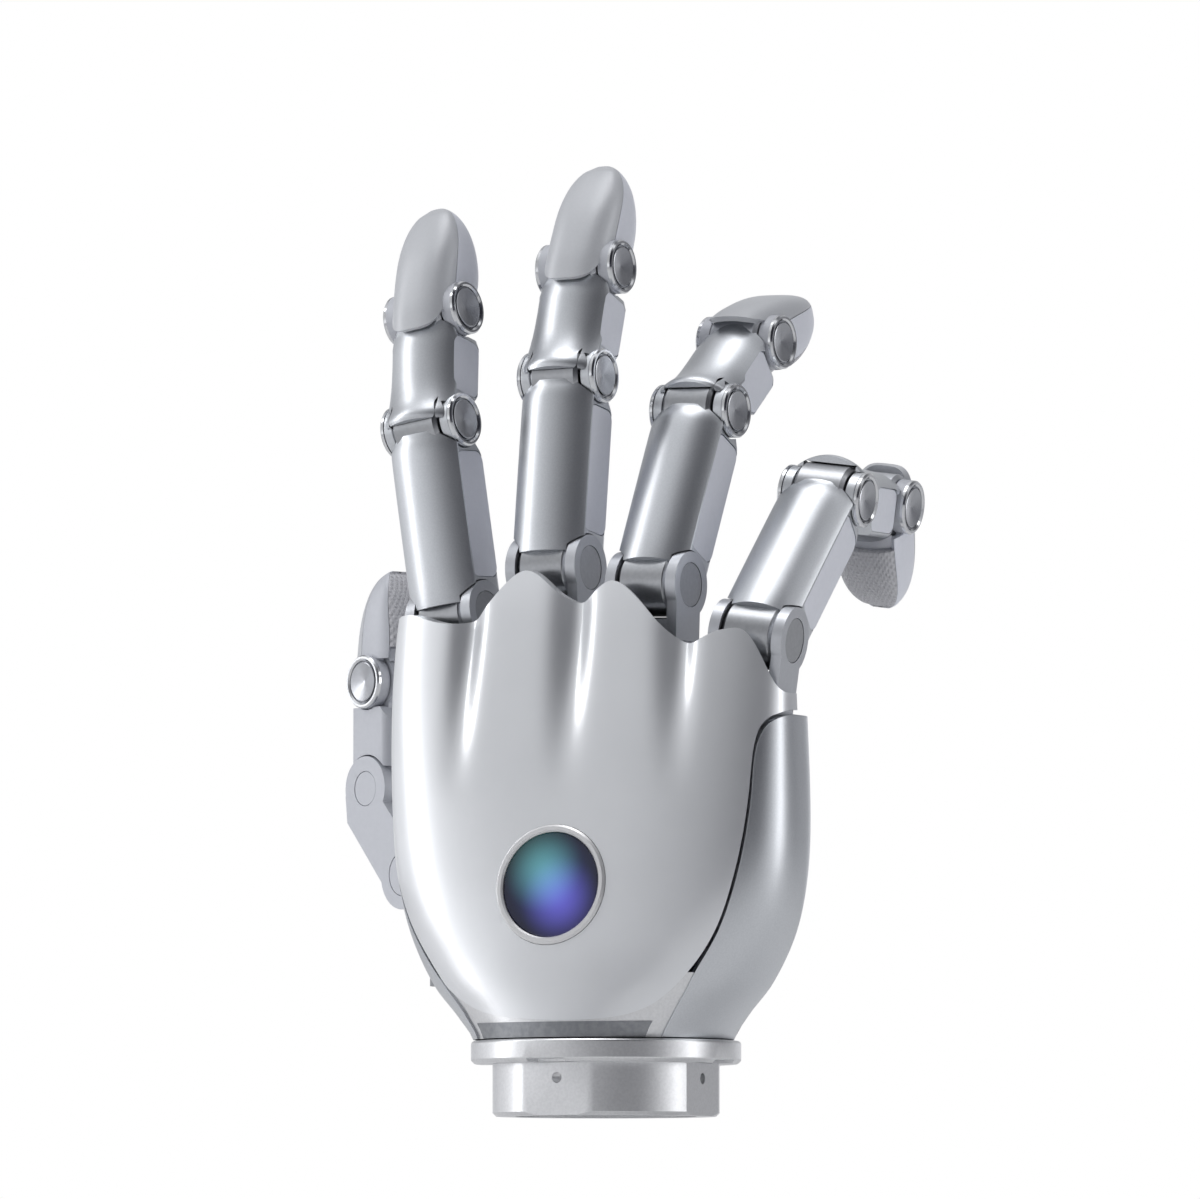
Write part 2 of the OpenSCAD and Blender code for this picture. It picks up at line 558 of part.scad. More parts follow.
// The thumb's hinges face the back of the hand; its joints bend across the palm.
thumb_facing = -114.2;
turn_x = -40.9;
turn_y = 16.5;
module at_turntable() translate([turn_x, turn_y, root_z]) rotate([0, 0, thumb_facing]) children();
module at_thumb_root() at_turntable() translate([0, -arm_len, 0]) rotate([-thumb_bend[0], 0, 0]) children();
module at_thumb_knuckle() at_thumb_root() translate([0, -root_back, root_up])
    rotate([-thumb_bend[1], 0, 0]) children();
module at_thumb_tip() at_thumb_knuckle() translate([0, 0, thumb_link_len])
    rotate([-thumb_bend[2], 0, 0]) children();

module thumb_turntable() color("silver") at_turntable() difference() {
    union() {
        translate([0, 0, -turntable_h / 2]) rotate_extrude() polygon([[0, 0], [turntable_r - 0.5, 0],
            [turntable_r, 0.5], [turntable_r, turntable_h - 1.5], [turntable_r - 1.5, turntable_h],
            [0, turntable_h]]);
        translate([-barrel_x, -arm_len, -6]) cube([2 * barrel_x, arm_len, 12]);
        translate([0, -arm_len, 0]) rod(barrel_r, -barrel_x, barrel_x);
    }
    translate([0, 0, -turntable_h]) cylinder(r = turn_pin_r + running, h = 2 * turntable_h);
    translate([0, -arm_len, 0]) rod(bore_r, -half_w, half_w);
}
module thumb_root_axle() color("silver") at_thumb_root() hinge_axle(recess_r - 0.15);
module thumb_knuckle_axle() color("silver") at_thumb_knuckle() hinge_axle(recess_r - 1.15);

// Root link seen from the side: round about both axes, with a bevelled heel between them.
heel = [[-6.7, -7.6], [11.5, -27.4]];
module root_outline() {
    circle(r = ear_r);
    translate([root_back, -root_up]) circle(r = 8);
    polygon([[-ear_r, -1.5], heel[0], heel[1], [root_back + 4, -root_up - 6.8],
        [root_back + 7.9, -root_up + 1], [ear_r - 1, -3]]);
}
module thumb_metacarpal() color("silver") at_thumb_root() translate([0, -root_back, root_up]) difference() {
    translate([-half_w, 0, 0]) rotate([90, 0, 90]) linear_extrude(joint_w) root_outline();
    rod(barrel_r + gap, -ear_x, ear_x);
    translate([-ear_x, -12, -4.5]) cube([2 * ear_x, 36, 20]);
    translate([0, root_back, -root_up]) rod(barrel_r + gap, -ear_x, ear_x);
    translate([-ear_x, root_back - 1, -root_up - 14]) cube([2 * ear_x, 14, 26]);
    translate([-ear_x, root_back - 14, -root_up - 20]) cube([2 * ear_x, 16, 13.8]);
    rod(bore_r, -half_w - 1, half_w + 1);
    translate([0, root_back, -root_up]) rod(bore_r, -half_w - 1, half_w + 1);
    both_sides() {
        rod(recess_r - 1, half_w - recess_t, half_w + 1);
        translate([0, root_back, -root_up]) rod(recess_r, half_w - recess_t, half_w + 1);
    }
}

// ---------- assembly ----------

module finger_piece(i, part) {
    if (part == "knuckle_bracket") at_knuckle(i) knuckle_bracket();
    if (part == "knuckle_axle") at_knuckle(i) knuckle_axle();
    if (part == "proximal_shell") at_proximal(i) phalanx_shell(proximal_len);
    if (part == "proximal_panels") at_proximal(i) side_panels(proximal_len);
    if (part == "middle_shell") at_middle(i) middle_shell();
    if (part == "middle_axle") at_middle(i) capped_axle();
    if (part == "tip_core") at_tip(i) tip_core();
    if (part == "nail_cover") at_tip(i) nail_cover();
    if (part == "tip_pad") at_tip(i) tip_pad();
    if (part == "tip_axle") at_tip(i) capped_axle();
}
for (i = [0:3]) for (part = finger_parts)
    finger_piece(i, part);

thumb_turntable();
thumb_root_axle();
thumb_metacarpal();
thumb_knuckle_axle();
at_thumb_knuckle() phalanx_shell(thumb_link_len, 2, false, nail_drop);  // thumb_link_shell
at_thumb_tip() tip_core();  // thumb_tip_core
at_thumb_tip() nail_cover();  // thumb_nail_cover
at_thumb_tip() tip_pad();  // thumb_tip_pad
at_thumb_tip() capped_axle();  // thumb_tip_axle
wrist_spigot();
wrist_flange();
palm_frame();
dorsal_cover();
ulnar_cover();
radial_cover();
palm_cover();
display_bezel();
display_screen();
spread_motors();
control_board();
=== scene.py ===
# %% [markdown]
# # A dexterous robot hand
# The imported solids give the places, sizes and joints of the hand. This script dresses them: it
# carries the machined pieces over with broken edges, makes the moulded covers, nails and pads anew
# as smooth surfaces, and gives every piece a procedural finish.
# Pieces are drawn in millimetres, because that is how a maker reads them, and scaled to Blender's
# metres when they are put in place. Only the camera, the lamps and the display's glow use metres.

# %% Load the frame
import bmesh
import bpy
import json
from math import atan2, cos, exp, pi, radians, sin, sqrt
from mathutils import Matrix, Vector


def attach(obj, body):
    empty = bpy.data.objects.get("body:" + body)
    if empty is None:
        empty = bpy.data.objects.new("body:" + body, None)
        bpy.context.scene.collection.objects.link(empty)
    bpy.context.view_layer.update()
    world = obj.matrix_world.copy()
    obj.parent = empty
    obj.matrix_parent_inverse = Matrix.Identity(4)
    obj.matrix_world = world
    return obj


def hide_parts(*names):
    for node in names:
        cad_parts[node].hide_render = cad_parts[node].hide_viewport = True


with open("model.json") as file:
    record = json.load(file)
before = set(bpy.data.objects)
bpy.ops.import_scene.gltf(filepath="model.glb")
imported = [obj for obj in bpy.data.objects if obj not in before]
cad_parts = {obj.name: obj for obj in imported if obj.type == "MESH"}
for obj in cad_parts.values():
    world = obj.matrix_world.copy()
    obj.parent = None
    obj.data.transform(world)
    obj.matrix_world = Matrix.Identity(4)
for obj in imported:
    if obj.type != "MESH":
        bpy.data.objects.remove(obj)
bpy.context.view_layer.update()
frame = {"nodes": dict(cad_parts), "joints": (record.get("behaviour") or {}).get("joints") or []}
MM = 0.001
JOINTS = {j["name"]: j for j in frame["joints"]}

# %% [markdown]
# ## Camera
# A long lens from a little below the wrist keeps the fingers' upright edges nearly parallel. The
# camera is put on a sphere round a point in the palm and turned to look at it.

# %% Camera
AIM = Vector((0, 0, 0.115))
AZIMUTH, RISE, AWAY = radians(27), radians(-4.28), 2.0
FOCAL_LENGTH, SIDE_SHIFT, FAR_END = 269.4, -0.0051, 20
camera = bpy.data.objects.new("camera", bpy.data.cameras.new("camera"))
bpy.context.collection.objects.link(camera)
step_back = Vector((sin(AZIMUTH) * cos(RISE), -cos(AZIMUTH) * cos(RISE), sin(RISE)))
camera.location = AIM + AWAY * step_back
camera.rotation_euler = (-step_back).to_track_quat("-Z", "Y").to_euler()
camera.data.lens = FOCAL_LENGTH
camera.data.shift_x = SIDE_SHIFT
camera.data.clip_end = FAR_END
bpy.context.scene.camera = camera
print("camera stands at", [round(v, 3) for v in camera.location])

# %% [markdown]
# ## Studio
# Satin metal looks like metal only when it has light and dark walls to reflect. So the world is a
# round room in soft tones: bright to the left, dark between the camera and the right, a bright card
# on the far right, and as white as the background behind the hand, where the edges mirror it. A
# plain white room would be simpler, but metal loses its shape in it. The camera, and rays that pass
# through glass, see plain white. Three soft lamps add the upright highlights on the cover.

# %% World
bpy.context.scene.view_settings.view_transform = "Standard"
world = bpy.data.worlds.new("studio")
bpy.context.scene.world = world
world.use_nodes = True
wn, wl = world.node_tree.nodes, world.node_tree.links
wn.clear()

def tone_ramp(tones, place, colour):
    """A colour ramp node with a stop for each (position, level) pair."""
    ramp = wn.new("ShaderNodeValToRGB")
    stops = ramp.color_ramp.elements
    stops.remove(stops[1])
    for k, (where, level) in enumerate(tones):
        stop = stops[0] if k == 0 else stops.new(place(where))
        stop.position, stop.color = place(where), colour(level)
    return ramp

# Bearings run from -90, the hand's left, over 0, its back, to 90, its right, and on round.
WALLS = [(-90, .86), (-75, .98), (-50, .99), (-28, .84), (-12, .60), (4, .40), (18, .22), (34, .09),
         (52, .04), (66, .05), (78, .35), (88, .95), (104, .95), (116, .45), (130, .17), (150, .23),
         (175, .68), (189, .80), (203, .83), (216, .80), (236, .50), (250, .76), (269, .86)]
# Heights run from -1, straight down, to 1, straight up.
CEILING = [(-1, .80), (-.3, .90), (.05, 1.0), (.28, .55), (.6, .50), (.85, .85), (1, 1.0)]
walls = tone_ramp(WALLS, lambda bearing: .25 + bearing / 360,
                  lambda v: (v * .98, v * .99, min(1, v + .012), 1))
ceiling = tone_ramp(CEILING, lambda rise: .5 + rise / 2, lambda v: (v, v, v, 1))
print("tones of the walls and the ceiling:", len(WALLS), len(CEILING))

# %% Walls by bearing, dimmed by height
STUDIO_LEVEL = 1.2
around = wn.new("ShaderNodeTexCoord")
circle = wn.new("ShaderNodeTexGradient")
circle.gradient_type = "RADIAL"
height = wn.new("ShaderNodeSeparateXYZ")
to_ramp = wn.new("ShaderNodeMapRange")
to_ramp.inputs["From Min"].default_value = -1
both = wn.new("ShaderNodeMix")
both.data_type, both.blend_type = "RGBA", "MULTIPLY"
both.inputs["Factor"].default_value = 1
studio_light = wn.new("ShaderNodeBackground")
studio_light.inputs["Strength"].default_value = STUDIO_LEVEL
wl.new(around.outputs["Generated"], circle.inputs["Vector"])
wl.new(circle.outputs["Fac"], walls.inputs["Fac"])
wl.new(around.outputs["Generated"], height.inputs["Vector"])
wl.new(height.outputs["Z"], to_ramp.inputs["Value"])
wl.new(to_ramp.outputs["Result"], ceiling.inputs["Fac"])
wl.new(walls.outputs["Color"], both.inputs["A"])
wl.new(ceiling.outputs["Color"], both.inputs["B"])
wl.new(both.outputs["Result"], studio_light.inputs["Color"])

# %% White for the camera
white = wn.new("ShaderNodeBackground")
white.inputs["Color"].default_value = (1, 1, 1, 1)
path = wn.new("ShaderNodeLightPath")
seen = wn.new("ShaderNodeMath")
seen.operation = "MAXIMUM"
wl.new(path.outputs["Is Camera Ray"], seen.inputs[0])
wl.new(path.outputs["Is Transmission Ray"], seen.inputs[1])
either = wn.new("ShaderNodeMixShader")
wl.new(seen.outputs["Value"], either.inputs["Fac"])
wl.new(studio_light.outputs["Background"], either.inputs[1])
wl.new(white.outputs["Background"], either.inputs[2])
wl.new(either.outputs["Shader"], wn.new("ShaderNodeOutputWorld").inputs["Surface"])
print("world ready")

# %% Floor and lamps
FLOOR_HALF, FLOOR_Z = 3.0, -0.045
mesh = bpy.data.meshes.new("floor")
mesh.from_pydata([(-FLOOR_HALF, -FLOOR_HALF, 0), (FLOOR_HALF, -FLOOR_HALF, 0),
                  (FLOOR_HALF, FLOOR_HALF, 0), (-FLOOR_HALF, FLOOR_HALF, 0)], [], [(0, 1, 2, 3)])
floor = bpy.data.objects.new("floor", mesh)
floor.location.z = FLOOR_Z
bpy.context.collection.objects.link(floor)

def lamp(name, place, size_x, size_y, power):
    """A soft rectangular lamp that looks at the palm. Sizes in metres, power in watts."""
    data = bpy.data.lights.new(name, "AREA")
    data.shape = "RECTANGLE"
    data.size, data.size_y, data.energy = size_x, size_y, power
    light = bpy.data.objects.new(name, data)
    light.location = place
    light.rotation_euler = (Vector(place) - AIM).to_track_quat("Z", "Y").to_euler()
    bpy.context.collection.objects.link(light)

lamp("key_strip", (-1.25, -0.45, 0.60), 0.30, 1.3, 4.0)
lamp("side_strip", (1.2, 0.35, 0.35), 0.30, 1.3, 2.5)
lamp("top_box", (-0.1, -0.1, 1.3), 0.7, 0.7, 3.5)
print("studio ready")

# %% [markdown]
# ## Finishes
# Two effects come back in nearly every finish of the hand: a faint mottle of two colours, and a fine
# grain that stirs the gloss and the surface. Each is a node group with its own values in every
# material, so that one place holds the recipe.

# %% Shared effects
def node_group(name, inputs, outputs):
    group = bpy.data.node_groups.new(name, "ShaderNodeTree")
    for label, kind in inputs:
        group.interface.new_socket(label, in_out="INPUT", socket_type=kind)
    for label, kind in outputs:
        group.interface.new_socket(label, in_out="OUTPUT", socket_type=kind)
    return group, group.nodes.new("NodeGroupInput"), group.nodes.new("NodeGroupOutput")

def object_noise(group, given, detail):
    """Noise in the piece's own coordinates, at the group's Scale."""
    place = group.nodes.new("ShaderNodeTexCoord")
    noise = group.nodes.new("ShaderNodeTexNoise")
    noise.inputs["Detail"].default_value = detail
    group.links.new(place.outputs["Object"], noise.inputs["Vector"])
    group.links.new(given.outputs["Scale"], noise.inputs["Scale"])
    return noise

COLOUR, FLOAT = "NodeSocketColor", "NodeSocketFloat"
mottle, given, put_out = node_group("mottle", [("Light", COLOUR), ("Dark", COLOUR), ("Scale", FLOAT)],
                                    [("Colour", COLOUR)])
noise = object_noise(mottle, given, 4)
NOISE_LOW, NOISE_HIGH = 0.35, 0.65
spread_out = mottle.nodes.new("ShaderNodeMapRange")
spread_out.inputs["From Min"].default_value = NOISE_LOW
spread_out.inputs["From Max"].default_value = NOISE_HIGH
mix = mottle.nodes.new("ShaderNodeMix")
mix.data_type = "RGBA"
mottle.links.new(noise.outputs["Fac"], spread_out.inputs["Value"])
mottle.links.new(spread_out.outputs["Result"], mix.inputs["Factor"])
mottle.links.new(given.outputs["Dark"], mix.inputs["A"])
mottle.links.new(given.outputs["Light"], mix.inputs["B"])
mottle.links.new(mix.outputs["Result"], put_out.inputs["Colour"])

grain, given, put_out = node_group("grain", [("Scale", FLOAT), ("Smooth", FLOAT), ("Rough", FLOAT)],
                                   [("Roughness", FLOAT), ("Height", FLOAT)])
noise = object_noise(grain, given, 2)
to_rough = grain.nodes.new("ShaderNodeMapRange")
grain.links.new(noise.outputs["Fac"], to_rough.inputs["Value"])
grain.links.new(given.outputs["Smooth"], to_rough.inputs["To Min"])
grain.links.new(given.outputs["Rough"], to_rough.inputs["To Max"])
grain.links.new(to_rough.outputs["Result"], put_out.inputs["Roughness"])
grain.links.new(noise.outputs["Fac"], put_out.inputs["Height"])
print("shared effects:", mottle.name, grain.name)

# %% Make a finish
GRAIN_HEIGHT = 0.0001

def socket_links(tree, shader, light, dark, mottle_scale, grain_scale, smooth, rough, bump):
    """Places both groups in a material and feeds the shader's varying sockets."""
    tint = tree.nodes.new("ShaderNodeGroup")
    tint.node_tree = mottle
    tint.inputs["Light"].default_value = (*light, 1)
    tint.inputs["Dark"].default_value = (*dark, 1)
    tint.inputs["Scale"].default_value = mottle_scale
    tree.links.new(tint.outputs["Colour"], shader.inputs["Base Color"])
    tooth = tree.nodes.new("ShaderNodeGroup")
    tooth.node_tree = grain
    for label, value in (("Scale", grain_scale), ("Smooth", smooth), ("Rough", rough)):
        tooth.inputs[label].default_value = value
    tree.links.new(tooth.outputs["Roughness"], shader.inputs["Roughness"])
    relief = tree.nodes.new("ShaderNodeBump")
    relief.inputs["Strength"].default_value = bump
    relief.inputs["Distance"].default_value = GRAIN_HEIGHT
    tree.links.new(tooth.outputs["Height"], relief.inputs["Height"])
    tree.links.new(relief.outputs["Normal"], shader.inputs["Normal"])

def finish(name, light, dark, mottle_scale, grain_scale, smooth, rough, bump, metallic=0.0, coat=0.0,
           coat_roughness=0.08):
    """Two colours and their scale, the grain's scale, its smoothest and roughest, and its relief."""
    material = bpy.data.materials.new(name)
    material.use_nodes = True
    shader = material.node_tree.nodes["Principled BSDF"]
    shader.inputs["Metallic"].default_value = metallic
    shader.inputs["Coat Weight"].default_value = coat
    shader.inputs["Coat Roughness"].default_value = coat_roughness
    socket_links(material.node_tree, shader, light, dark, mottle_scale, grain_scale, smooth, rough, bump)
    return material

# %% [markdown]
# The cover is moulded and pearl-lacquered: a light base with a little metal in it under a clear
# coat. The finger housings have the same silver without the coat, so they look satin. The thumb and
# the fingertips are a matt grey with a touch of lavender. The side panels and the fingers' cheeks are
# a lighter inlay grey, lightened further as painted light to lift the shade on the fingers' sides.

# %% Lacquers and plastics
FINISH = {
    "cover_gloss": finish("cover_gloss", (.85, .865, .89), (.83, .845, .87), 60, 2600, .285, .31, .004,
                          metallic=.6, coat=.35),
    "finger_silver": finish("finger_silver", (.66, .68, .71), (.62, .64, .67), 2600, 3000, .30, .38,
                            .03, metallic=.92),
    "panel_grey": finish("panel_grey", (.58, .595, .64), (.565, .58, .625), 900, 2500, .42, .50, .03,
                         metallic=.2),
    # Lighter inlay grey for the side panels and the fingers' cheeks, lightened further as painted light
    # to lift the shade on the fingers' sides.
    "inlay_grey_and_painted_light": finish("inlay_grey_and_painted_light", (.84, .86, .93), (.82, .84, .91), 900, 2500, .40, .48, .03,
                        metallic=.2),
    "nail_plastic": finish("nail_plastic", (.60, .615, .645), (.585, .60, .63), 1500, 2800, .36, .44,
                           .02, metallic=.15, coat=.2, coat_roughness=.3),
    "palm_plastic": finish("palm_plastic", (.50, .51, .54), (.46, .47, .50), 700, 2200, .45, .55, .15,
                           metallic=.2),
    "bezel_plastic": finish("bezel_plastic", (.80, .80, .81), (.77, .77, .78), 500, 2500, .29, .34, .05,
                            metallic=.4, coat=.3),
}
print("lacquers and plastics:", sorted(FINISH))

# %% [markdown]
# Metals differ mostly in how coarse their grain is. Turned steel is nearly a mirror, the brackets are
# satin, and the wrist is bead-blasted, which leaves small even dents.

# %% Metals
FINISH.update({
    "bracket_metal": finish("bracket_metal", (.58, .595, .63), (.56, .575, .61), 900, 2600, .34, .42,
                            .02, metallic=.85),
    # A dark steel. On the finger barrels its dark tone is also painted shade, for the shade in the gaps
    # between bracket and housing.
    "axle_steel": finish("axle_steel", (.44, .45, .47), (.40, .41, .43), 1200, 2400, .29, .36, .02,
                         metallic=1),
    "joint_chrome": finish("joint_chrome", (.72, .73, .75), (.68, .69, .71), 1200, 2400, .10, .16, .004,
                           metallic=1),
    "frame_metal": finish("frame_metal", (.34, .35, .37), (.28, .29, .31), 800, 2000, .40, .55, .10,
                          metallic=.9),
    "wrist_aluminium": finish("wrist_aluminium", (.78, .785, .80), (.72, .725, .74), 1600, 4200, .29,
                              .37, .12, metallic=1),
    "motor_metal": finish("motor_metal", (.20, .20, .21), (.15, .15, .16), 500, 1800, .35, .5, .05,
                          metallic=.9),
    "board_plastic": finish("board_plastic", (.02, .12, .06), (.015, .09, .045), 900, 1500, .4, .5, .05),
})
print("metals added, finishes in all:", len(FINISH))

# %% [markdown]
# The pads are soft silicone with a diamond knurl. Two sets of ridges that cross at an angle give the
# diamonds, in the pad's own coordinates, so the knurl turns with the finger.

# %% Silicone pad
KNURL_TURN, KNURL_SCALE, KNURL_DEPTH, KNURL_STRENGTH = 32, 330, 0.0004, 0.7

def knurled_silicone():
    material = finish("pad_silicone", (.60, .60, .63), (.56, .56, .59), 700, 2200, .55, .65, .1)
    tree = material.node_tree
    shader = tree.nodes["Principled BSDF"]
    place = tree.nodes.new("ShaderNodeAttribute")
    place.attribute_name = "drawn"
    ridges = []
    for turn in (KNURL_TURN, -KNURL_TURN):
        turned = tree.nodes.new("ShaderNodeMapping")
        turned.inputs["Rotation"].default_value = (0, radians(turn), 0)
        wave = tree.nodes.new("ShaderNodeTexWave")
        wave.inputs["Scale"].default_value = KNURL_SCALE
        tree.links.new(place.outputs["Vector"], turned.inputs["Vector"])
        tree.links.new(turned.outputs["Vector"], wave.inputs["Vector"])
        ridges.append(wave)
    cross = tree.nodes.new("ShaderNodeMath")
    cross.operation = "MULTIPLY"
    for k, wave in enumerate(ridges):
        tree.links.new(wave.outputs["Fac"], cross.inputs[k])
    knurl = tree.nodes.new("ShaderNodeBump")
    knurl.inputs["Strength"].default_value = KNURL_STRENGTH
    knurl.inputs["Distance"].default_value = KNURL_DEPTH
    tree.links.new(cross.outputs[0], knurl.inputs["Height"])
    tree.links.new(knurl.outputs["Normal"], shader.inputs["Normal"])
    return material

FINISH["pad_silicone"] = knurled_silicone()

# %% [markdown]
# The display is dark glass over soft light: teal near its top, violet near its foot, and navy all
# over. Each light fades with the distance from its own centre, and the three are added up. They
# follow the drawn coordinates, so they stay in the glass when the hand is turned.

# %% Display glass
GLOWS = [((-.002, .0035, 0), .0105, (.10, .34, .30, 1)), ((.0025, -.0035, 0), .0105, (.12, .10, .55, 1)),
         ((0, 0, 0), .0122, (.02, .04, .18, 1))]
GLOW_BASE, GLOW_LEVEL = (0, 0, .004, 1), .8

def glowing_glass():
    material = finish("display_glass", (.010, .014, .040), (.006, .008, .026), 60, 900, .04, .08, .01,
                      coat=.3, coat_roughness=.03)
    tree = material.node_tree
    shader = tree.nodes["Principled BSDF"]
    place = tree.nodes.new("ShaderNodeAttribute")
    place.attribute_name = "drawn"
    lit = None
    for centre, reach, colour in GLOWS:
        away = tree.nodes.new("ShaderNodeVectorMath")
        away.operation = "DISTANCE"
        away.inputs[1].default_value = centre
        tree.links.new(place.outputs["Vector"], away.inputs[0])
        fade = tree.nodes.new("ShaderNodeMapRange")
        fade.interpolation_type = "SMOOTHSTEP"
        fade.inputs["From Max"].default_value = reach
        fade.inputs["To Min"].default_value, fade.inputs["To Max"].default_value = 1, 0
        tree.links.new(away.outputs["Value"], fade.inputs["Value"])
        add = tree.nodes.new("ShaderNodeMix")
        add.data_type, add.blend_type = "RGBA", "ADD"
        add.inputs["B"].default_value = colour
        add.inputs["A"].default_value = GLOW_BASE
        tree.links.new(fade.outputs["Result"], add.inputs["Factor"])
        if lit:
            tree.links.new(lit, add.inputs["A"])
        lit = add.outputs["Result"]
    tree.links.new(lit, shader.inputs["Emission Color"])
    shader.inputs["Emission Strength"].default_value = GLOW_LEVEL
    return material

FINISH["display_glass"] = glowing_glass()

# %% [markdown]
# ## Floor
# The floor is a pale surface that glows a little to the camera alone. Its lit part so reads white,
# while the hand's shadow still dims it, and the glow puts no extra light on the hand.

# %% Floor finish
FLOOR_GLOW = .45
floor_white = finish("floor_white", (.86, .86, .86), (.84, .84, .84), 8, 300, .7, .8, .02)
shader = floor_white.node_tree.nodes["Principled BSDF"]
path = floor_white.node_tree.nodes.new("ShaderNodeLightPath")
floor_white.node_tree.links.new(path.outputs["Is Camera Ray"], shader.inputs["Emission Strength"])
shader.inputs["Emission Color"].default_value = (FLOOR_GLOW, FLOOR_GLOW, FLOOR_GLOW, 1)
floor.data.materials.append(floor_white)

# %% [markdown]
# ## Frames of the moving parts
# Every finger piece is drawn straight up from its own hinge: X along the axle, Z along the piece and
# Y towards the palm side. The joints in the record give each hinge's centre and axis, and the next
# hinge gives the direction of Z.

# %% Hinge frames
def hinge_frame(centre, across, up):
    x = Vector(across).normalized()
    z = (Vector(up) - Vector(up).dot(x) * x).normalized()
    y = z.cross(x)
    at = Matrix((x, y, z)).transposed().to_4x4()
    at.translation = Vector(centre)
    return at

def turned(up, axis, degrees):
    return Matrix.Rotation(radians(degrees), 3, Vector(axis)) @ Vector(up)

def rest_bend(joint, lowest):
    """Bend of a joint in the resting pose, from its lowest bend and the range that is left below."""
    return lowest - JOINTS[joint]["range_deg"][0]

FINGERS = ("index", "middle", "ring", "little")
AT = {}
for f in FINGERS:
    k, m, d = (JOINTS[f + "_" + part + "_bend"] for part in ("knuckle", "middle", "tip"))
    axis = Vector(k["axis"])
    first = Vector(m["pos_m"]) - Vector(k["pos_m"])
    second = Vector(d["pos_m"]) - Vector(m["pos_m"])
    AT[f + "_knuckle"] = hinge_frame(k["pos_m"], -axis, turned(first, axis, -rest_bend(k["name"], -5)))
    AT[f + "_proximal"] = hinge_frame(k["pos_m"], -axis, first)
    AT[f + "_middle"] = hinge_frame(m["pos_m"], -axis, second)
    AT[f + "_tip"] = hinge_frame(d["pos_m"], -axis, turned(second, axis, rest_bend(d["name"], 0)))
thumb_axis = Vector(JOINTS["thumb_knuckle_bend"]["axis"])
for part, joint in (("thumb_root", "thumb_knuckle_bend"), ("thumb_link", "thumb_knuckle_bend"),
                    ("thumb_tip", "thumb_tip_bend")):
    AT[part] = hinge_frame(JOINTS[joint]["pos_m"], -thumb_axis, (0, 0, 1))
AT["palm"] = Matrix.Identity(4)
AT["thumb_base"] = hinge_frame(JOINTS["thumb_root_lift"]["pos_m"], -thumb_axis, (0, 0, 1))
print("frames:", len(AT))

# %% [markdown]
# A piece keeps the coordinates it was drawn in as an attribute called drawn, in metres. Knurls and
# other patterns that must follow the piece read it.

# %% Put a piece in place
BEVEL_STEPS, BEVEL_FROM = 3, 32

def put(name, mesh, body, slot, nodes=(), at=None, bevel=0.0, angle=35):
    """Makes an object of a mesh drawn in millimetres in its hinge's frame, and ties it to its body."""
    drawn = mesh.attributes.new("drawn", "FLOAT_VECTOR", "POINT")
    drawn.data.foreach_set("vector", [c * MM for v in mesh.vertices for c in v.co])
    mesh.transform((AT[body] if at is None else at) @ Matrix.Scale(MM, 4))
    piece = bpy.data.objects.new(name, mesh)
    bpy.context.collection.objects.link(piece)
    mesh.polygons.foreach_set("use_smooth", [True] * len(mesh.polygons))
    mesh.set_sharp_from_angle(angle=radians(angle))
    if bevel:
        broken = piece.modifiers.new("broken_edges", "BEVEL")
        broken.width, broken.segments = bevel * MM, BEVEL_STEPS
        broken.limit_method, broken.angle_limit = "ANGLE", radians(BEVEL_FROM)
        broken.harden_normals = True
    mesh.materials.append(FINISH[slot])
    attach(piece, body)
    if nodes:
        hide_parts(*nodes)
    return piece

# %% [markdown]
# ## Machined pieces
# Brackets, housings and hinges are machined parts whose exact shape the solids already have. What the
# solids lack is the small broken edge that catches the light. Each solid's mesh is copied, its flat
# triangles are merged into whole faces, and a narrow bevel runs along every edge.

# %% Carry a solid over
SAME_POINT, SAME_PLANE = 0.002, 1

def broken_edges(node, name, body, slot, width, angle=35):
    solid = frame["nodes"][node]
    bm = bmesh.new()
    bm.from_mesh(solid.data)
    bm.transform(Matrix.Scale(1 / MM, 4) @ AT[body].inverted() @ solid.matrix_world)
    bmesh.ops.remove_doubles(bm, verts=bm.verts, dist=SAME_POINT)
    bmesh.ops.dissolve_limit(bm, angle_limit=radians(SAME_PLANE), verts=bm.verts, edges=bm.edges)
    mesh = bpy.data.meshes.new(name)
    bm.to_mesh(mesh)
    bm.free()
    return put(name, mesh, body, slot, [node], bevel=width, angle=angle)

for f in FINGERS:
    broken_edges(f + "_knuckle_bracket", f + "_bracket", f + "_knuckle", "bracket_metal", .35)
    broken_edges(f + "_tip_core", f + "_tip_body", f + "_tip", "panel_grey", .2)
broken_edges("thumb_turntable", "thumb_turntable_body", "thumb_base", "finger_silver", .3)
broken_edges("thumb_metacarpal", "thumb_root_housing", "thumb_root", "panel_grey", .5)
broken_edges("thumb_link_shell", "thumb_link_housing", "thumb_link", "panel_grey", .4)
broken_edges("thumb_tip_core", "thumb_tip_body", "thumb_tip", "panel_grey", .2)
broken_edges("wrist_flange", "wrist_collar", "palm", "wrist_aluminium", .25)
broken_edges("wrist_spigot", "wrist_plug", "palm", "wrist_aluminium", .25)
print("machined pieces carried over")

# %% Curves through stations
def curve(table, x):
    """A smooth curve through (position, value) pairs, level at both ends."""
    if x <= table[0][0]:
        return table[0][1]
    if x >= table[-1][0]:
        return table[-1][1]
    k = next(i for i in range(len(table) - 1) if x < table[i + 1][0])
    def slope(i):
        if i in (0, len(table) - 1):
            return 0
        return (table[i + 1][1] - table[i - 1][1]) / (table[i + 1][0] - table[i - 1][0])
    d = table[k + 1][0] - table[k][0]
    u = (x - table[k][0]) / d
    return (table[k][1] * (1 + 2 * u) * (1 - u) ** 2 + table[k + 1][1] * u * u * (3 - 2 * u)
            + d * slope(k) * u * (1 - u) ** 2 - d * slope(k + 1) * u * u * (1 - u))

def power(v, e):
    return (1 if v >= 0 else -1) * abs(v) ** e

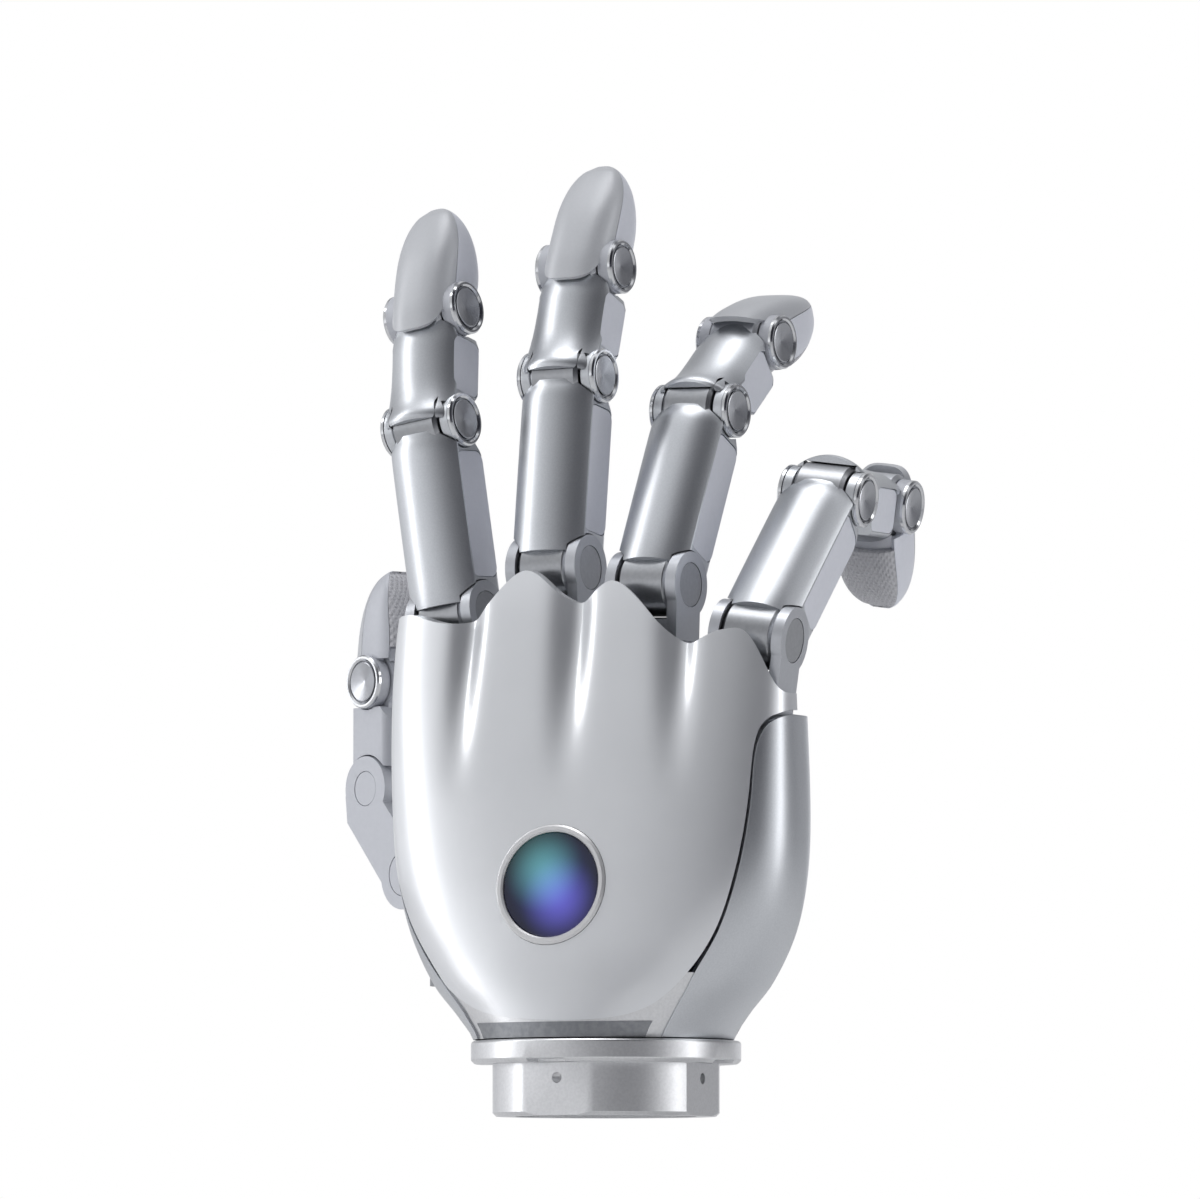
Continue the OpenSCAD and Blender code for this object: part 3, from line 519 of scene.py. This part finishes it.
# %% [markdown]
# ## Finger housings
# A housing is a tube whose section has a crowned back, a narrow bevel at each corner and flat sides.
# Lofting it through rings lets the back sink to a waist between the joints. Round tools then cut the
# clearance for the hinge caps and a pocket for each side panel, the way a mill would.

# %% Lathe, loft and cut
def turned_mesh(name, profile, steps=96):
    """A lathe: (radius, height) pairs turned round the Z axis, in millimetres."""
    bm = bmesh.new()
    rings = []
    for r, z in profile:
        if r < 1e-6:
            rings.append([bm.verts.new((0, 0, z))])
        else:
            rings.append([bm.verts.new((r * cos(2 * pi * i / steps), r * sin(2 * pi * i / steps), z))
                          for i in range(steps)])
    for low, high in zip(rings, rings[1:]):
        for i in range(steps):
            k = (i + 1) % steps
            if len(low) == 1 and len(high) > 1:
                bm.faces.new((low[0], high[k], high[i]))
            elif len(high) == 1 and len(low) > 1:
                bm.faces.new((low[i], low[k], high[0]))
            elif len(low) > 1:
                bm.faces.new((low[i], low[k], high[k], high[i]))
    if len(rings[0]) > 1 and len(rings[-1]) > 1 and (profile[0] != profile[-1]):
        bm.faces.new(list(reversed(rings[0])))
        bm.faces.new(rings[-1])
    bmesh.ops.recalc_face_normals(bm, faces=bm.faces)
    mesh = bpy.data.meshes.new(name)
    bm.to_mesh(mesh)
    bm.free()
    return mesh

def lofted(name, rings):
    """A closed solid through rings of points."""
    m = len(rings[0])
    faces = [(j * m + i, j * m + (i + 1) % m, (j + 1) * m + (i + 1) % m, (j + 1) * m + i)
             for j in range(len(rings) - 1) for i in range(m)]
    faces += [tuple(reversed(range(m))), tuple((len(rings) - 1) * m + i for i in range(m))]
    mesh = bpy.data.meshes.new(name)
    mesh.from_pydata([tuple(p) for ring in rings for p in ring], [], faces)
    bm = bmesh.new()
    bm.from_mesh(mesh)
    bmesh.ops.recalc_face_normals(bm, faces=bm.faces)
    bm.to_mesh(mesh)
    bm.free()
    return mesh

def machined(mesh, tools, operation="DIFFERENCE"):
    """Cuts the tool meshes out of a mesh, or joins them to it, and returns the new mesh."""
    blank = bpy.data.objects.new("blank", mesh)
    bpy.context.collection.objects.link(blank)
    helpers = []
    for k, tool_mesh in enumerate(tools):
        tool = bpy.data.objects.new("tool" + str(k), tool_mesh)
        bpy.context.collection.objects.link(tool)
        cut = blank.modifiers.new("cut" + str(k), "BOOLEAN")
        cut.object, cut.operation, cut.solver = tool, operation, "EXACT"
        helpers.append(tool)
    bpy.context.view_layer.update()
    result = bpy.data.meshes.new_from_object(blank.evaluated_get(bpy.context.evaluated_depsgraph_get()))
    result.name = mesh.name
    for helper in helpers + [blank]:
        bpy.data.objects.remove(helper)
    return result

DRUM_STEPS = 72
OUTSIDE = 12  # beyond the side of any finger
WEDGE_DEEP, WEDGE_TALL = 16, 14

def drum(r, x0, x1, z=0.0, edge=0.0):
    """A round bar along X, with bevelled ends if edge is given."""
    ends = [(0, x0), (r - edge, x0), (r, x0 + edge), (r, x1 - edge), (r - edge, x1), (0, x1)]
    if not edge:
        ends = [(0, x0), (r, x0), (r, x1), (0, x1)]
    mesh = turned_mesh("drum", ends, DRUM_STEPS)
    mesh.transform(Matrix.Translation((0, 0, z)) @ Matrix.Rotation(pi / 2, 4, "Y"))
    return mesh

def block(x0, x1, y0, y1, z0, z1):
    return lofted("block", [[(x, y, z) for x, y in ((x0, y0), (x1, y0), (x1, y1), (x0, y1))]
                            for z in (z0, z1)])

def wedge(up, angle, z):
    """Room for the next phalanx to bend forward about the axis at height z."""
    mesh = block(-OUTSIDE, OUTSIDE, 0, WEDGE_DEEP, *((0, WEDGE_TALL) if up else (-WEDGE_TALL, 0)))
    lean = Matrix.Rotation(radians(-angle / 2 if up else angle / 2), 4, "X")
    mesh.transform(Matrix.Translation((0, 0, z)) @ lean)
    return mesh

# %% Section of a housing
HOUSING_HALF, FINGER_FRONT, FRONT_ROUND = 8.4, 7.6, 2.0
CROWN_R, CROWN_STEPS, ROUND_STEPS = 12.0, 24, 4
BEAD = [(.65, .3), (.7, .65), (.5, 1.0), (0, 1.2)]  # outwards and down from the crown's edge

def housing_ring(z, back, half=HOUSING_HALF):
    """One ring: crowned back, a small bead at each corner, flat sides, rounded front corners."""
    edge_x = half + .4
    def crown(x):
        return CROWN_R - sqrt(CROWN_R ** 2 - x * x) - back
    bead = [(half + out, crown(edge_x) + down, z) for out, down in BEAD]
    across = [-edge_x + 2 * edge_x * k / CROWN_STEPS for k in range(CROWN_STEPS + 1)]
    ring = [(x, crown(x), z) for x in across] + bead
    for side, start in ((1, 0), (-1, pi / 2)):
        for k in range(ROUND_STEPS + 1):
            a = start + pi / 2 * k / ROUND_STEPS
            ring.append((side * (half - FRONT_ROUND) + FRONT_ROUND * cos(a),
                         FINGER_FRONT - FRONT_ROUND + FRONT_ROUND * sin(a), z))
    return ring + [(-x, y, z) for x, y, z in reversed(bead)]

def pocket_plate(name, x0, x1, y0, y1, z0, z1, r):
    """A plate with round corners, standing on the side of a finger."""
    outline = []
    corners = ((y1 - r, z1 - r), (y0 + r, z1 - r), (y0 + r, z0 + r), (y1 - r, z0 + r))
    for turn, (cy, cz) in enumerate(corners):
        for k in range(9):
            a = pi / 2 * (turn + k / 8)
            outline.append((cy + r * cos(a), cz + r * sin(a)))
    return lofted(name, [[(x, y, z) for y, z in outline] for x in (x0, x1)])
print("points in a housing ring:", len(housing_ring(0, 8)))

# %% [markdown]
# The first phalanx is straight. Its side panels stop short of both hinges, with round corners.

# %% Side panels and barrels
PROXIMAL_LEN, MIDDLE_LEN = 44.0, 26.8
EAR_X, EAR_END, EAR_R, EAR_GAP = 6.4, 8.85, 6.05, .05
BARREL_X, BARREL_R = 6.05, 7.1
CAP_ROOM_R, BRACKET_ROOM_R, BARREL_ROOM = 6.45, 7.75, .35
POCKET_DEPTH, PANEL_T, PANEL_GAP = .7, .58, .18
POCKET_FLOOR, POCKET_OUT = HOUSING_HALF - POCKET_DEPTH, 10
PANEL_X = {"right": POCKET_FLOOR, "left": -POCKET_FLOOR - PANEL_T}
YOKE_WEB = (-6.2, 6.2, -4.5, 4.5, -12.5, -7.5)
FIRST_PANEL, SECOND_PANEL = (-3.5, 6.9, 8.2, 37.2, 2.6), (-3.5, 6.7, 6.7, 20.0, 2.4)

def side_pockets(outline):
    return [pocket_plate("pocket", x0, x1, *outline)
            for x0, x1 in ((POCKET_FLOOR, POCKET_OUT), (-POCKET_OUT, -POCKET_FLOOR))]

def cap_room(r, z=0.0):
    return [drum(r, BARREL_X, OUTSIDE, z), drum(r, -OUTSIDE, -BARREL_X, z)]

def put_panel(name, side, outline, body, nodes=()):
    """A lighter plate on one side, a little smaller than its pocket, its grey lifted further as painted
    light.
    """
    y0, y1, z0, z1, r = outline
    g, x0 = PANEL_GAP, PANEL_X[side]
    plate = pocket_plate("panel", x0, x0 + PANEL_T, y0 + g, y1 - g, z0 + g, z1 - g, r - g)
    panel = put(name + side, plate, body, "panel_grey", nodes, bevel=.16)
    # The plate takes the lighter inlay grey, partly painted light that lifts the shade on the finger's
    # sides.
    panel.data.materials[0] = FINISH["inlay_grey_and_painted_light"]

def barrel_mesh(z, up):
    """A hinge barrel and the neck that ties it to its housing, above or below."""
    neck = block(-BARREL_X, BARREL_X, -4.3, 4, *((z, z + 8) if up else (z - 9, z)))
    return machined(drum(BARREL_R, -BARREL_X, BARREL_X, z, .8), [neck], "UNION")

# %% First phalanges
def back_of_first(z):
    return curve([(1.5, 8.0), (6, 8.2), (30, 8.2), (39, 8.0), (42, 7.3)], z)

first_rings = [housing_ring(z, back_of_first(z)) for z in
               (2.8, 3.1, 4.5, 8, 14, 20, 26, 32, 36, 38, 39.5, 40.6, 41.4, 41.9, 42.1)]
first_tools = cap_room(BRACKET_ROOM_R) + cap_room(CAP_ROOM_R, PROXIMAL_LEN)
first_tools += [wedge(True, 100, PROXIMAL_LEN), block(-OUTSIDE, OUTSIDE, 2.4, 14, -2, 5)]
first_mesh = machined(lofted("first", first_rings), first_tools + side_pockets(FIRST_PANEL))
root_barrel, end_barrel = barrel_mesh(0, True), barrel_mesh(PROXIMAL_LEN, False)
for f in FINGERS:
    body = f + "_proximal"
    put(f + "_housing", first_mesh.copy(), body, "finger_silver", [f + "_proximal_shell"], bevel=.3,
        angle=28)
    # The barrels take the dark steel, partly as painted shade for the gaps at the hinges.
    put(f + "_root_barrel", root_barrel.copy(), body, "axle_steel", bevel=.2)
    put(f + "_yoke_web", block(*YOKE_WEB), f + "_knuckle", "motor_metal")
    put(f + "_end_barrel", end_barrel.copy(), body, "axle_steel", bevel=.2)
    put_panel(f + "_side_panel_", "right", FIRST_PANEL, body, [f + "_proximal_panels"])
    put_panel(f + "_side_panel_", "left", FIRST_PANEL, body)
print("first phalanges:", len(FINGERS))

# %% [markdown]
# The second phalanx has a waist in its back and flares to a rounded lip over the hinge below. Its
# upper end is narrower and reaches up under the nail. A round ear stands on either side of the lower
# hinge, and a barrel on top carries the fingertip.

# %% Second phalanges
def back_of_second(z):
    return curve([(-1.1, 8.9), (-.5, 9.2), (.6, 9.2), (3.5, 8.2), (8, 7.35), (14, 7.1), (19, 7.1),
                  (22, 6.8), (26, 6.8)], z)

def half_of_second(z):
    return curve([(19, HOUSING_HALF), (22, 7.4)], z)

second_rings = [housing_ring(z, back_of_second(z), half_of_second(z)) for z in
                (-1.1, -.9, -.5, 0, .6, 1.2, 2, 3, 4, 5.5, 7, 9, 11, 13, 15, 17, 19, 21, 23, 25, 25.8)]
second_tools = [drum(BARREL_R + BARREL_ROOM, -EAR_X, EAR_X)] + cap_room(CAP_ROOM_R, MIDDLE_LEN)
second_tools += [wedge(False, 100, 0), wedge(True, 74, MIDDLE_LEN),
                 block(-OUTSIDE, OUTSIDE, -6.1, 18, -2, 3), block(-OUTSIDE, OUTSIDE, -3, 18, 21, 28)]
second_mesh = machined(lofted("second", second_rings), second_tools + side_pockets(SECOND_PANEL))
tip_barrel = barrel_mesh(MIDDLE_LEN, False)
for f in FINGERS:
    body = f + "_middle"
    put(f + "_middle_housing", second_mesh.copy(), body, "finger_silver", [f + "_middle_shell"],
        bevel=.25, angle=28)
    put(f + "_tip_barrel", tip_barrel.copy(), body, "bracket_metal", bevel=.2)
    for side, x0, x1 in (("right", EAR_X + EAR_GAP, EAR_END), ("left", -EAR_END, -EAR_X - EAR_GAP)):
        put_panel(f + "_middle_panel_", side, SECOND_PANEL, body)
        put(f + "_ear_" + side, drum(EAR_R, x0, x1), body, "finger_silver", bevel=.3)
print("second phalanges:", len(FINGERS))

# %% [markdown]
# ## Palm covers
# The palm's skin is one smooth form: at each height a rounded oblong, wider than deep, whose width and
# depth follow a few stations. Each cover is a patch of that skin between its own edges, so
# neighbouring covers meet in an even seam. A grid of points gives far smoother highlights than
# carving would.

# %% Stations of the palm skin
WIDTH = [(16, 28.9), (22, 33), (29, 39.4), (39, 44.9), (50, 48), (63, 49.4), (92, 49.4),
         (112, 48.4), (124, 47)]
BACK = [(16, 28.6), (24, 28), (36, 26), (51, 24), (70, 21), (90, 17.2), (112, 14), (124, 13.4)]
FRONT = [(16, 28.6), (24, 24.5), (36, 18.5), (51, 15.2), (70, 14.6), (124, 14.6)]
SQUARE = [(16, 2), (26, 2.15), (45, 2.6), (63, 2.9), (90, 3.2), (124, 3.2)]
LEAN = [(16, -0.6), (40, 0), (63, -0.6), (92, -1.8), (124, -1.8)]
GROOVES = [(-0.36, 0.05), (0.009, 0.05), (0.369, 0.055)]
TOP_EDGE = [(-1, 110.8), (-0.7, 112.4), (-0.36, 110.3), (-0.16, 121), (0.009, 113.6), (0.15, 117.9),
            (0.37, 104.1), (0.54, 106.4), (0.66, 105.7), (0.84, 94.2), (1, 92.6)]
SHIELD_EDGE = [(-1, 67.5), (-0.9, 61.5), (-0.8, 54), (-0.69, 42.7), (-0.606, 34.7), (-0.53, 27.9),
               (-0.38, 23.3), (-0.13, 21.2), (0.25, 21), (0.45, 23.9), (0.526, 30.4), (0.584, 40.1),
               (0.627, 53.2), (0.673, 68.6), (0.7, 80), (0.75, 85.5), (0.866, 88), (1, 88.9)]
SIDE_SEAM = [(17, 0.573), (23, 0.563), (30.4, 0.547), (40.1, 0.584), (53.2, 0.627), (68.6, 0.673),
             (80, 0.7), (85, 0.76), (87, 0.85), (88, 0.96)]
THUMB_SEAM = [(17, -0.53), (23, -0.53), (27.9, -0.555), (34.7, -0.63), (42.7, -0.715), (54, -0.825),
              (60, -0.925), (66, -1.01), (110, -1.01)]

# %% Point on the palm skin
COVER_T, SEAM = 2.2, 0.3
PALM_BASE, PALM_TOP, PALM_HALF = 17.0, 112, 49.4
GROOVE_DEPTH, GROOVE_END = 3.4, 68

def groove(p, z):
    """Depth of the valleys between the finger ridges."""
    fade = curve([(GROOVE_END, 0), (PALM_TOP, 1)], z)
    return GROOVE_DEPTH * fade * max(exp(-((p - at) / width) ** 2) for at, width in GROOVES)

def palm_point(p, z, inset):
    """p runs from -1 at the thumb side over the back to 1 at the little finger's side, and on."""
    q, c, n = sin(pi / 2 * p), cos(pi / 2 * p), curve(SQUARE, z)
    depth = curve(BACK, z) - groove(p, z) if c > 0 else curve(FRONT, z)
    side = -1 if c > 0 else 1
    return Vector((curve(LEAN, z) + (curve(WIDTH, z) - inset) * q,
                   side * (depth - inset) * max(0, 1 - abs(q) ** n) ** (1 / n), z))
print("widest place of the palm at z = 70:", round(palm_point(1, 70, 0).x, 1), "mm")

# %% Thick sheet between two grids
def thick_sheet(name, outer, inner):
    """A closed shell between two grids of points of the same size."""
    rows, cols = len(outer), len(outer[0])
    n = rows * cols
    points = [p for row in outer for p in row] + [p for row in inner for p in row]
    faces = []
    for j in range(rows - 1):
        for i in range(cols - 1):
            a = j * cols + i
            quad = (a, a + 1, a + cols + 1, a + cols)
            faces += [quad, tuple(n + v for v in reversed(quad))]
    edge = ([i for i in range(cols - 1)] + [j * cols + cols - 1 for j in range(rows - 1)]
            + [(rows - 1) * cols + i for i in range(cols - 1, 0, -1)]
            + [j * cols for j in range(rows - 1, 0, -1)])
    faces += [(b, a, a + n, b + n) for a, b in zip(edge, edge[1:] + edge[:1])]
    mesh = bpy.data.meshes.new(name)
    mesh.from_pydata([tuple(p) for p in points], [], faces)
    bm = bmesh.new()
    bm.from_mesh(mesh)
    bmesh.ops.recalc_face_normals(bm, faces=bm.faces)
    bm.to_mesh(mesh)
    bm.free()
    return mesh

def skin_patch(name, cols, rows, p_of, z_of, thick=COVER_T, sunk=0.0):
    """A patch of the palm skin. p_of and z_of give its place at s along and v up the patch."""
    places = [[(p_of(i / cols, j / rows), i / cols, j / rows) for i in range(cols + 1)]
              for j in range(rows + 1)]
    def grid(inset):
        return [[palm_point(p, z_of(s, v, p), inset) for p, s, v in row] for row in places]
    return thick_sheet(name, grid(sunk), grid(sunk + thick))

# %% [markdown]
# The back cover ends in a scalloped edge: a ridge for each finger with a valley between. Its rim has
# a fine round of its own, which shows as a thin bright line. A drill leaves the hole for the display,
# and a round cutter leaves room for the index finger's bracket to swing sideways.

# %% Back cover
BEZEL_R, WINDOW_R, BEZEL_ROOM, DRILL_REACH = 13.4, 11.8, .1, 6
DISPLAY_Z, DISPLAY_TILT = 50.6, 82
SPREAD_ROOM_R, SPREAD_ROOM_X = 9.4, 13
RIM_ROUND, BACK_SPAN = .45, 1.995
display_centre = Vector((-1.5, 0.25 - curve(BACK, DISPLAY_Z), DISPLAY_Z))
DISPLAY = Matrix.Translation(display_centre * MM) @ Matrix.Rotation(radians(DISPLAY_TILT), 4, "X")

def from_frame(mesh, at):
    """Moves a tool from the frame it was drawn in to the palm's, in millimetres."""
    mesh.transform(Matrix.Scale(1 / MM, 4) @ at @ Matrix.Scale(MM, 4))
    return mesh

def back_edge(s, v, p):
    low = curve(SHIELD_EDGE, p)
    return low + (curve(TOP_EDGE, p) - low) * v

drill_r = BEZEL_R + BEZEL_ROOM
drill_profile = [(0, -DRILL_REACH), (drill_r, -DRILL_REACH), (drill_r, DRILL_REACH), (0, DRILL_REACH)]
drill = from_frame(turned_mesh("drill", drill_profile), DISPLAY)
spread_room = from_frame(drum(SPREAD_ROOM_R, -SPREAD_ROOM_X, SPREAD_ROOM_X), AT["index_knuckle"])
back_mesh = skin_patch("back_cover", 220, 48, lambda s, v: -1 + BACK_SPAN * s, back_edge)
back_cover = put("back_cover", machined(back_mesh, [drill, spread_room]), "palm", "cover_gloss",
                 ["dorsal_cover"], bevel=RIM_ROUND, angle=50)
print("back cover faces:", len(back_cover.data.polygons))

# %% [markdown]
# The two side covers are patches of the same skin, from the seam beside the back cover round to the
# palm side. A thin collar of the skin closes the gap above the wrist flange. It lies a little deeper,
# so it only shows where the covers end.

# %% Side covers
ULNAR_END, RADIAL_END, NECK_END = 1.34, -1.12, .72
SIDE_TOP, THUMB_TOP, NECK_H = 87.9, 108, 14
NECK_T, NECK_SUNK = 1.6, .45
SEAM_IN_P = 2.5 * (SEAM / PALM_HALF)
CROWDING = 1.4  # the rows of the little finger's side lie closer towards its top

def side_height(v):
    return PALM_BASE + (SIDE_TOP - PALM_BASE) * (1 - (1 - v) ** CROWDING)

def ulnar_place(s, v):
    start = curve(SIDE_SEAM, side_height(v)) + SEAM_IN_P
    return start + (ULNAR_END - start) * s

def radial_height(v):
    return PALM_BASE + (THUMB_TOP - PALM_BASE) * v

def radial_place(s, v):
    return RADIAL_END + (curve(THUMB_SEAM, radial_height(v)) - RADIAL_END) * s

little_side = skin_patch("little_side_cover", 36, 60, ulnar_place, lambda s, v, p: side_height(v))
put("little_side_cover", little_side, "palm", "finger_silver", ["ulnar_cover"], bevel=.35, angle=50)
thumb_side = skin_patch("thumb_side_cover", 24, 60, radial_place, lambda s, v, p: radial_height(v))
put("thumb_side_cover", machined(thumb_side, [spread_room]), "palm", "finger_silver", ["radial_cover"],
    bevel=.35, angle=50)
neck = skin_patch("neck_collar", 60, 12, lambda s, v: NECK_END * (2 * s - 1),
                  lambda s, v, p: PALM_BASE + NECK_H * v, NECK_T, NECK_SUNK)
put("neck_collar", neck, "palm", "wrist_aluminium", angle=50)
print("side covers and neck done")

# %% [markdown]
# ## Fingertips
# A fingertip is one soft form: its width, back and belly shrink along its length by smooth laws, and
# each cross-section is a squarish oval. The nail is the patch over the back of that form, a cheek
# lies on each side and the pad is the patch over its belly, so they all flow into each other.

# %% Form of a fingertip
TIP_HALF, TIP_LEN, TIP_AXIS, OVAL = 8.2, 26.0, 1.2, 2 / 3.0
TAPER_FROM, TAPER_POWER = .36, 2.7
THIN_FROM, CORE_LEAST, U_POWER = .85, .05, 2.6
TIP_BACK = [(-.2, 8.7), (0, 8.7), (.4, 7.2), (.72, 4.5), (.9, 2.2), (1, 0)]
TIP_BELLY = [(-.05, 5.6), (.1, 8.0), (.28, 9.6), (.5, 9.4), (.76, 6.8), (.92, 3.4), (1, 0)]

def tip_point(u, t, inset):
    """u runs from the hinge to the tip, t in degrees from one side over the belly and back."""
    taper = max(0, (u - TAPER_FROM) / (1 - TAPER_FROM)) ** TAPER_POWER
    wide = TIP_HALF * sqrt(max(0, 1 - taper))
    a = radians(t)
    deep = curve(TIP_BACK, u) + TIP_AXIS if sin(a) < 0 else curve(TIP_BELLY, u) - TIP_AXIS
    z = u * TIP_LEN - inset * max(0, (u - THIN_FROM) / (1 - THIN_FROM))
    return Vector((max(CORE_LEAST, wide - inset) * power(cos(a), OVAL),
                   TIP_AXIS + max(CORE_LEAST, deep - inset) * power(sin(a), OVAL), z))

def tip_patch(name, t0, t1, u0, u1, thick, foot=0.0, cols=40, rows=36):
    """A patch from angle t0 to t1 and from u0 to u1; foot lifts its lower corners into a U."""
    def at(i, j, inset):
        side = abs(2 * i / cols - 1) ** U_POWER
        low = u0 + foot * side
        return tip_point(low + (u1 - low) * sin(pi / 2 * j / rows), t0 + (t1 - t0) * i / cols, inset)
    return thick_sheet(name, *([[at(i, j, inset) for i in range(cols + 1)] for j in range(rows + 1)]
                               for inset in (0, thick)))

# %% Nails, cheeks and pads
NAIL = dict(t0=196, t1=344, u0=-.23, u1=.985, thick=1.2, foot=.40)
CHEEK = dict(u0=.2, u1=.985, thick=1.4)
PAD = dict(t0=34, t1=146, u0=.3, u1=.985, thick=2.6)
CHEEK_TURN = 48
TIPS = {f + "_": f + "_tip" for f in FINGERS}
TIPS["thumb_"] = "thumb_tip"
for prefix, body in TIPS.items():
    put(prefix + "nail", tip_patch(prefix + "nail", **NAIL), body, "nail_plastic",
        [prefix + "nail_cover"], bevel=.3, angle=50)
    for side, t0 in (("right", -15), ("left", 147)):
        patch = tip_patch(prefix + "cheek", t0=t0, t1=t0 + CHEEK_TURN, **CHEEK)
        cheek = put(prefix + "cheek_" + side, patch, body, "panel_grey", bevel=.2, angle=50)
        # The fingers' cheeks take the same lighter grey, partly painted light against the shade on their
        # sides; the thumb's keep the plain grey.
        cheek.data.materials[0] = FINISH["inlay_grey_and_painted_light" if body != "thumb_tip" else "panel_grey"]
    put(prefix + "grip_pad", tip_patch(prefix + "grip_pad", **PAD), body, "pad_silicone",
        [prefix + "tip_pad"], bevel=.3, angle=50)
print("nails, cheeks and pads:", 4 * len(TIPS))

# %% [markdown]
# ## Hinges
# Each finger hinge shows a chromed ring, and inside it a slightly dished, turned steel disc whose fine
# circular cuts scatter the light into bright wedges. The cuts could be drawn as bumps, but they are
# finer than any bump would show. So the shader's own anisotropy stretches the highlights, and a
# texture map that runs round the disc tells it which way the cuts go.

# %% Turned disc finish
CUT_STRETCH = .8

def turned_disc():
    material = bpy.data.materials.new("turned_disc")
    material.use_nodes = True
    tree = material.node_tree
    shader = tree.nodes["Principled BSDF"]
    shader.inputs["Metallic"].default_value = 1
    shader.inputs["Anisotropic"].default_value = CUT_STRETCH
    socket_links(tree, shader, (.48, .49, .52), (.47, .48, .51), 400, 300, .22, .25, .002)
    tangent = tree.nodes.new("ShaderNodeTangent")
    tangent.direction_type, tangent.uv_map = "UV_MAP", "turns"
    tree.links.new(tangent.outputs["Tangent"], shader.inputs["Tangent"])
    return material

FINISH["turned_disc"] = turned_disc()

# %% Caps and pins
HALF_W, CAP_R, CAP_T, AXLE_R = 8.9, 6.1, 1.0, 2.5

def cap_ring(name):
    """Bevelled ring round the end of a hinge."""
    return turned_mesh(name, [(CAP_R, 0), (CAP_R, CAP_T - .4), (CAP_R - .35, CAP_T), (CAP_R - .8, CAP_T),
                              (CAP_R - 1.2, CAP_T - .35), (CAP_R - 1.25, 0), (CAP_R, 0)])

def cap_disc(name):
    """A turned, slightly dished disc whose texture map runs round it, so its brushing does too."""
    r = CAP_R - 1.6
    mesh = turned_mesh(name, [(0, 0), (r, 0), (r, CAP_T - .2), (r - .2, CAP_T - .1), (.5, .18), (0, .12)])
    turns = mesh.uv_layers.new(name="turns")
    for face in mesh.polygons:
        middle = atan2(face.center.y, face.center.x)
        for corner in face.loop_indices:
            v = mesh.vertices[mesh.loops[corner].vertex_index].co
            round_it = (atan2(v.y, v.x) - middle + pi) % (2 * pi) - pi if v.xy.length > .01 else 0
            turns.data[corner].uv = ((middle + round_it) / (2 * pi), v.xy.length / CAP_R)
    return mesh

def end_frames(body):
    """Frames at both ends of a hinge, with Z pointing outwards."""
    right = AT[body] @ Matrix.Translation((HALF_W * MM, 0, 0)) @ Matrix.Rotation(pi / 2, 4, "Y")
    left = AT[body] @ Matrix.Translation((-HALF_W * MM, 0, 0)) @ Matrix.Rotation(-pi / 2, 4, "Y")
    return (("right", right), ("left", left))

def hinge_pin():
    """The pin through a hinge, with a small bevel at both ends."""
    edge = .3
    mesh = turned_mesh("pin", [(0, -HALF_W), (AXLE_R - edge, -HALF_W), (AXLE_R, -HALF_W + edge),
                               (AXLE_R, HALF_W - edge), (AXLE_R - edge, HALF_W), (0, HALF_W)], 48)
    mesh.transform(Matrix.Rotation(pi / 2, 4, "Y"))
    return mesh

for f in FINGERS + ("thumb",):
    for part in (("middle", "tip") if f != "thumb" else ("tip",)):
        body = f + "_" + part
        put(body + "_pin", hinge_pin(), body, "axle_steel", [body + "_axle"])
        for side, at in end_frames(body):
            put(body + "_ring_" + side, cap_ring(body + "_ring_" + side), body, "joint_chrome", at=at)
            disc = put(body + "_disc_" + side, cap_disc(body + "_disc_" + side), body, "joint_chrome",
                       at=at)
            disc.data.materials[0] = FINISH["turned_disc"]
print("hinge caps done")

# %% [markdown]
# ## Display
# A pale ring holds a dark glass disc on the back of the hand. It shows only a soft glow and carries
# no sign of any kind. Both are turned shapes: the ring's section has a bevel on either side, and the
# glass has a wide hidden foot that the cover holds down.

# %% Bezel and glass
RING_TOP, RING_FOOT, GLASS_TOP, GLASS_FOOT, FOOT_TOP = .7, -2, .2, -3.2, -2.1
ring_section = [(WINDOW_R, RING_FOOT), (BEZEL_R, RING_FOOT), (BEZEL_R, .3), (BEZEL_R - .5, RING_TOP),
                (WINDOW_R + .35, RING_TOP), (WINDOW_R, .3), (WINDOW_R, RING_FOOT)]
foot_r, glass_r = BEZEL_R - .6, WINDOW_R - .12
glass_section = [(0, GLASS_FOOT), (foot_r, GLASS_FOOT), (foot_r, FOOT_TOP), (glass_r, FOOT_TOP),
                 (glass_r, -.05), (WINDOW_R - .4, GLASS_TOP), (0, GLASS_TOP)]
put("display_ring", turned_mesh("display_ring", ring_section, 128), "palm", "bezel_plastic",
    ["display_bezel"], at=DISPLAY)
put("display_window", turned_mesh("display_window", glass_section, 128), "palm", "display_glass",
    ["display_screen"], at=DISPLAY)
print("display at height", round(DISPLAY.translation.z / MM, 1), "mm")

# %% [markdown]
# ## Solids that stay
# What the covers hide, and the plain turned pins, keep their own solids and only take a finish. New
# meshes would add nothing here that anyone could see.

# %% Finish the kept solids
KEPT = {"palm_frame": "frame_metal", "palm_cover": "palm_plastic", "spread_motors": "motor_metal",
        "control_board": "board_plastic", "thumb_root_axle": "panel_grey",
        "thumb_knuckle_axle": "panel_grey"}
KEPT.update({f + "_knuckle_axle": "axle_steel" for f in FINGERS})
for node, slot in KEPT.items():
    mesh = frame["nodes"][node].data
    mesh.materials.clear()
    mesh.materials.append(FINISH[slot])
print("solids kept:", len(KEPT))
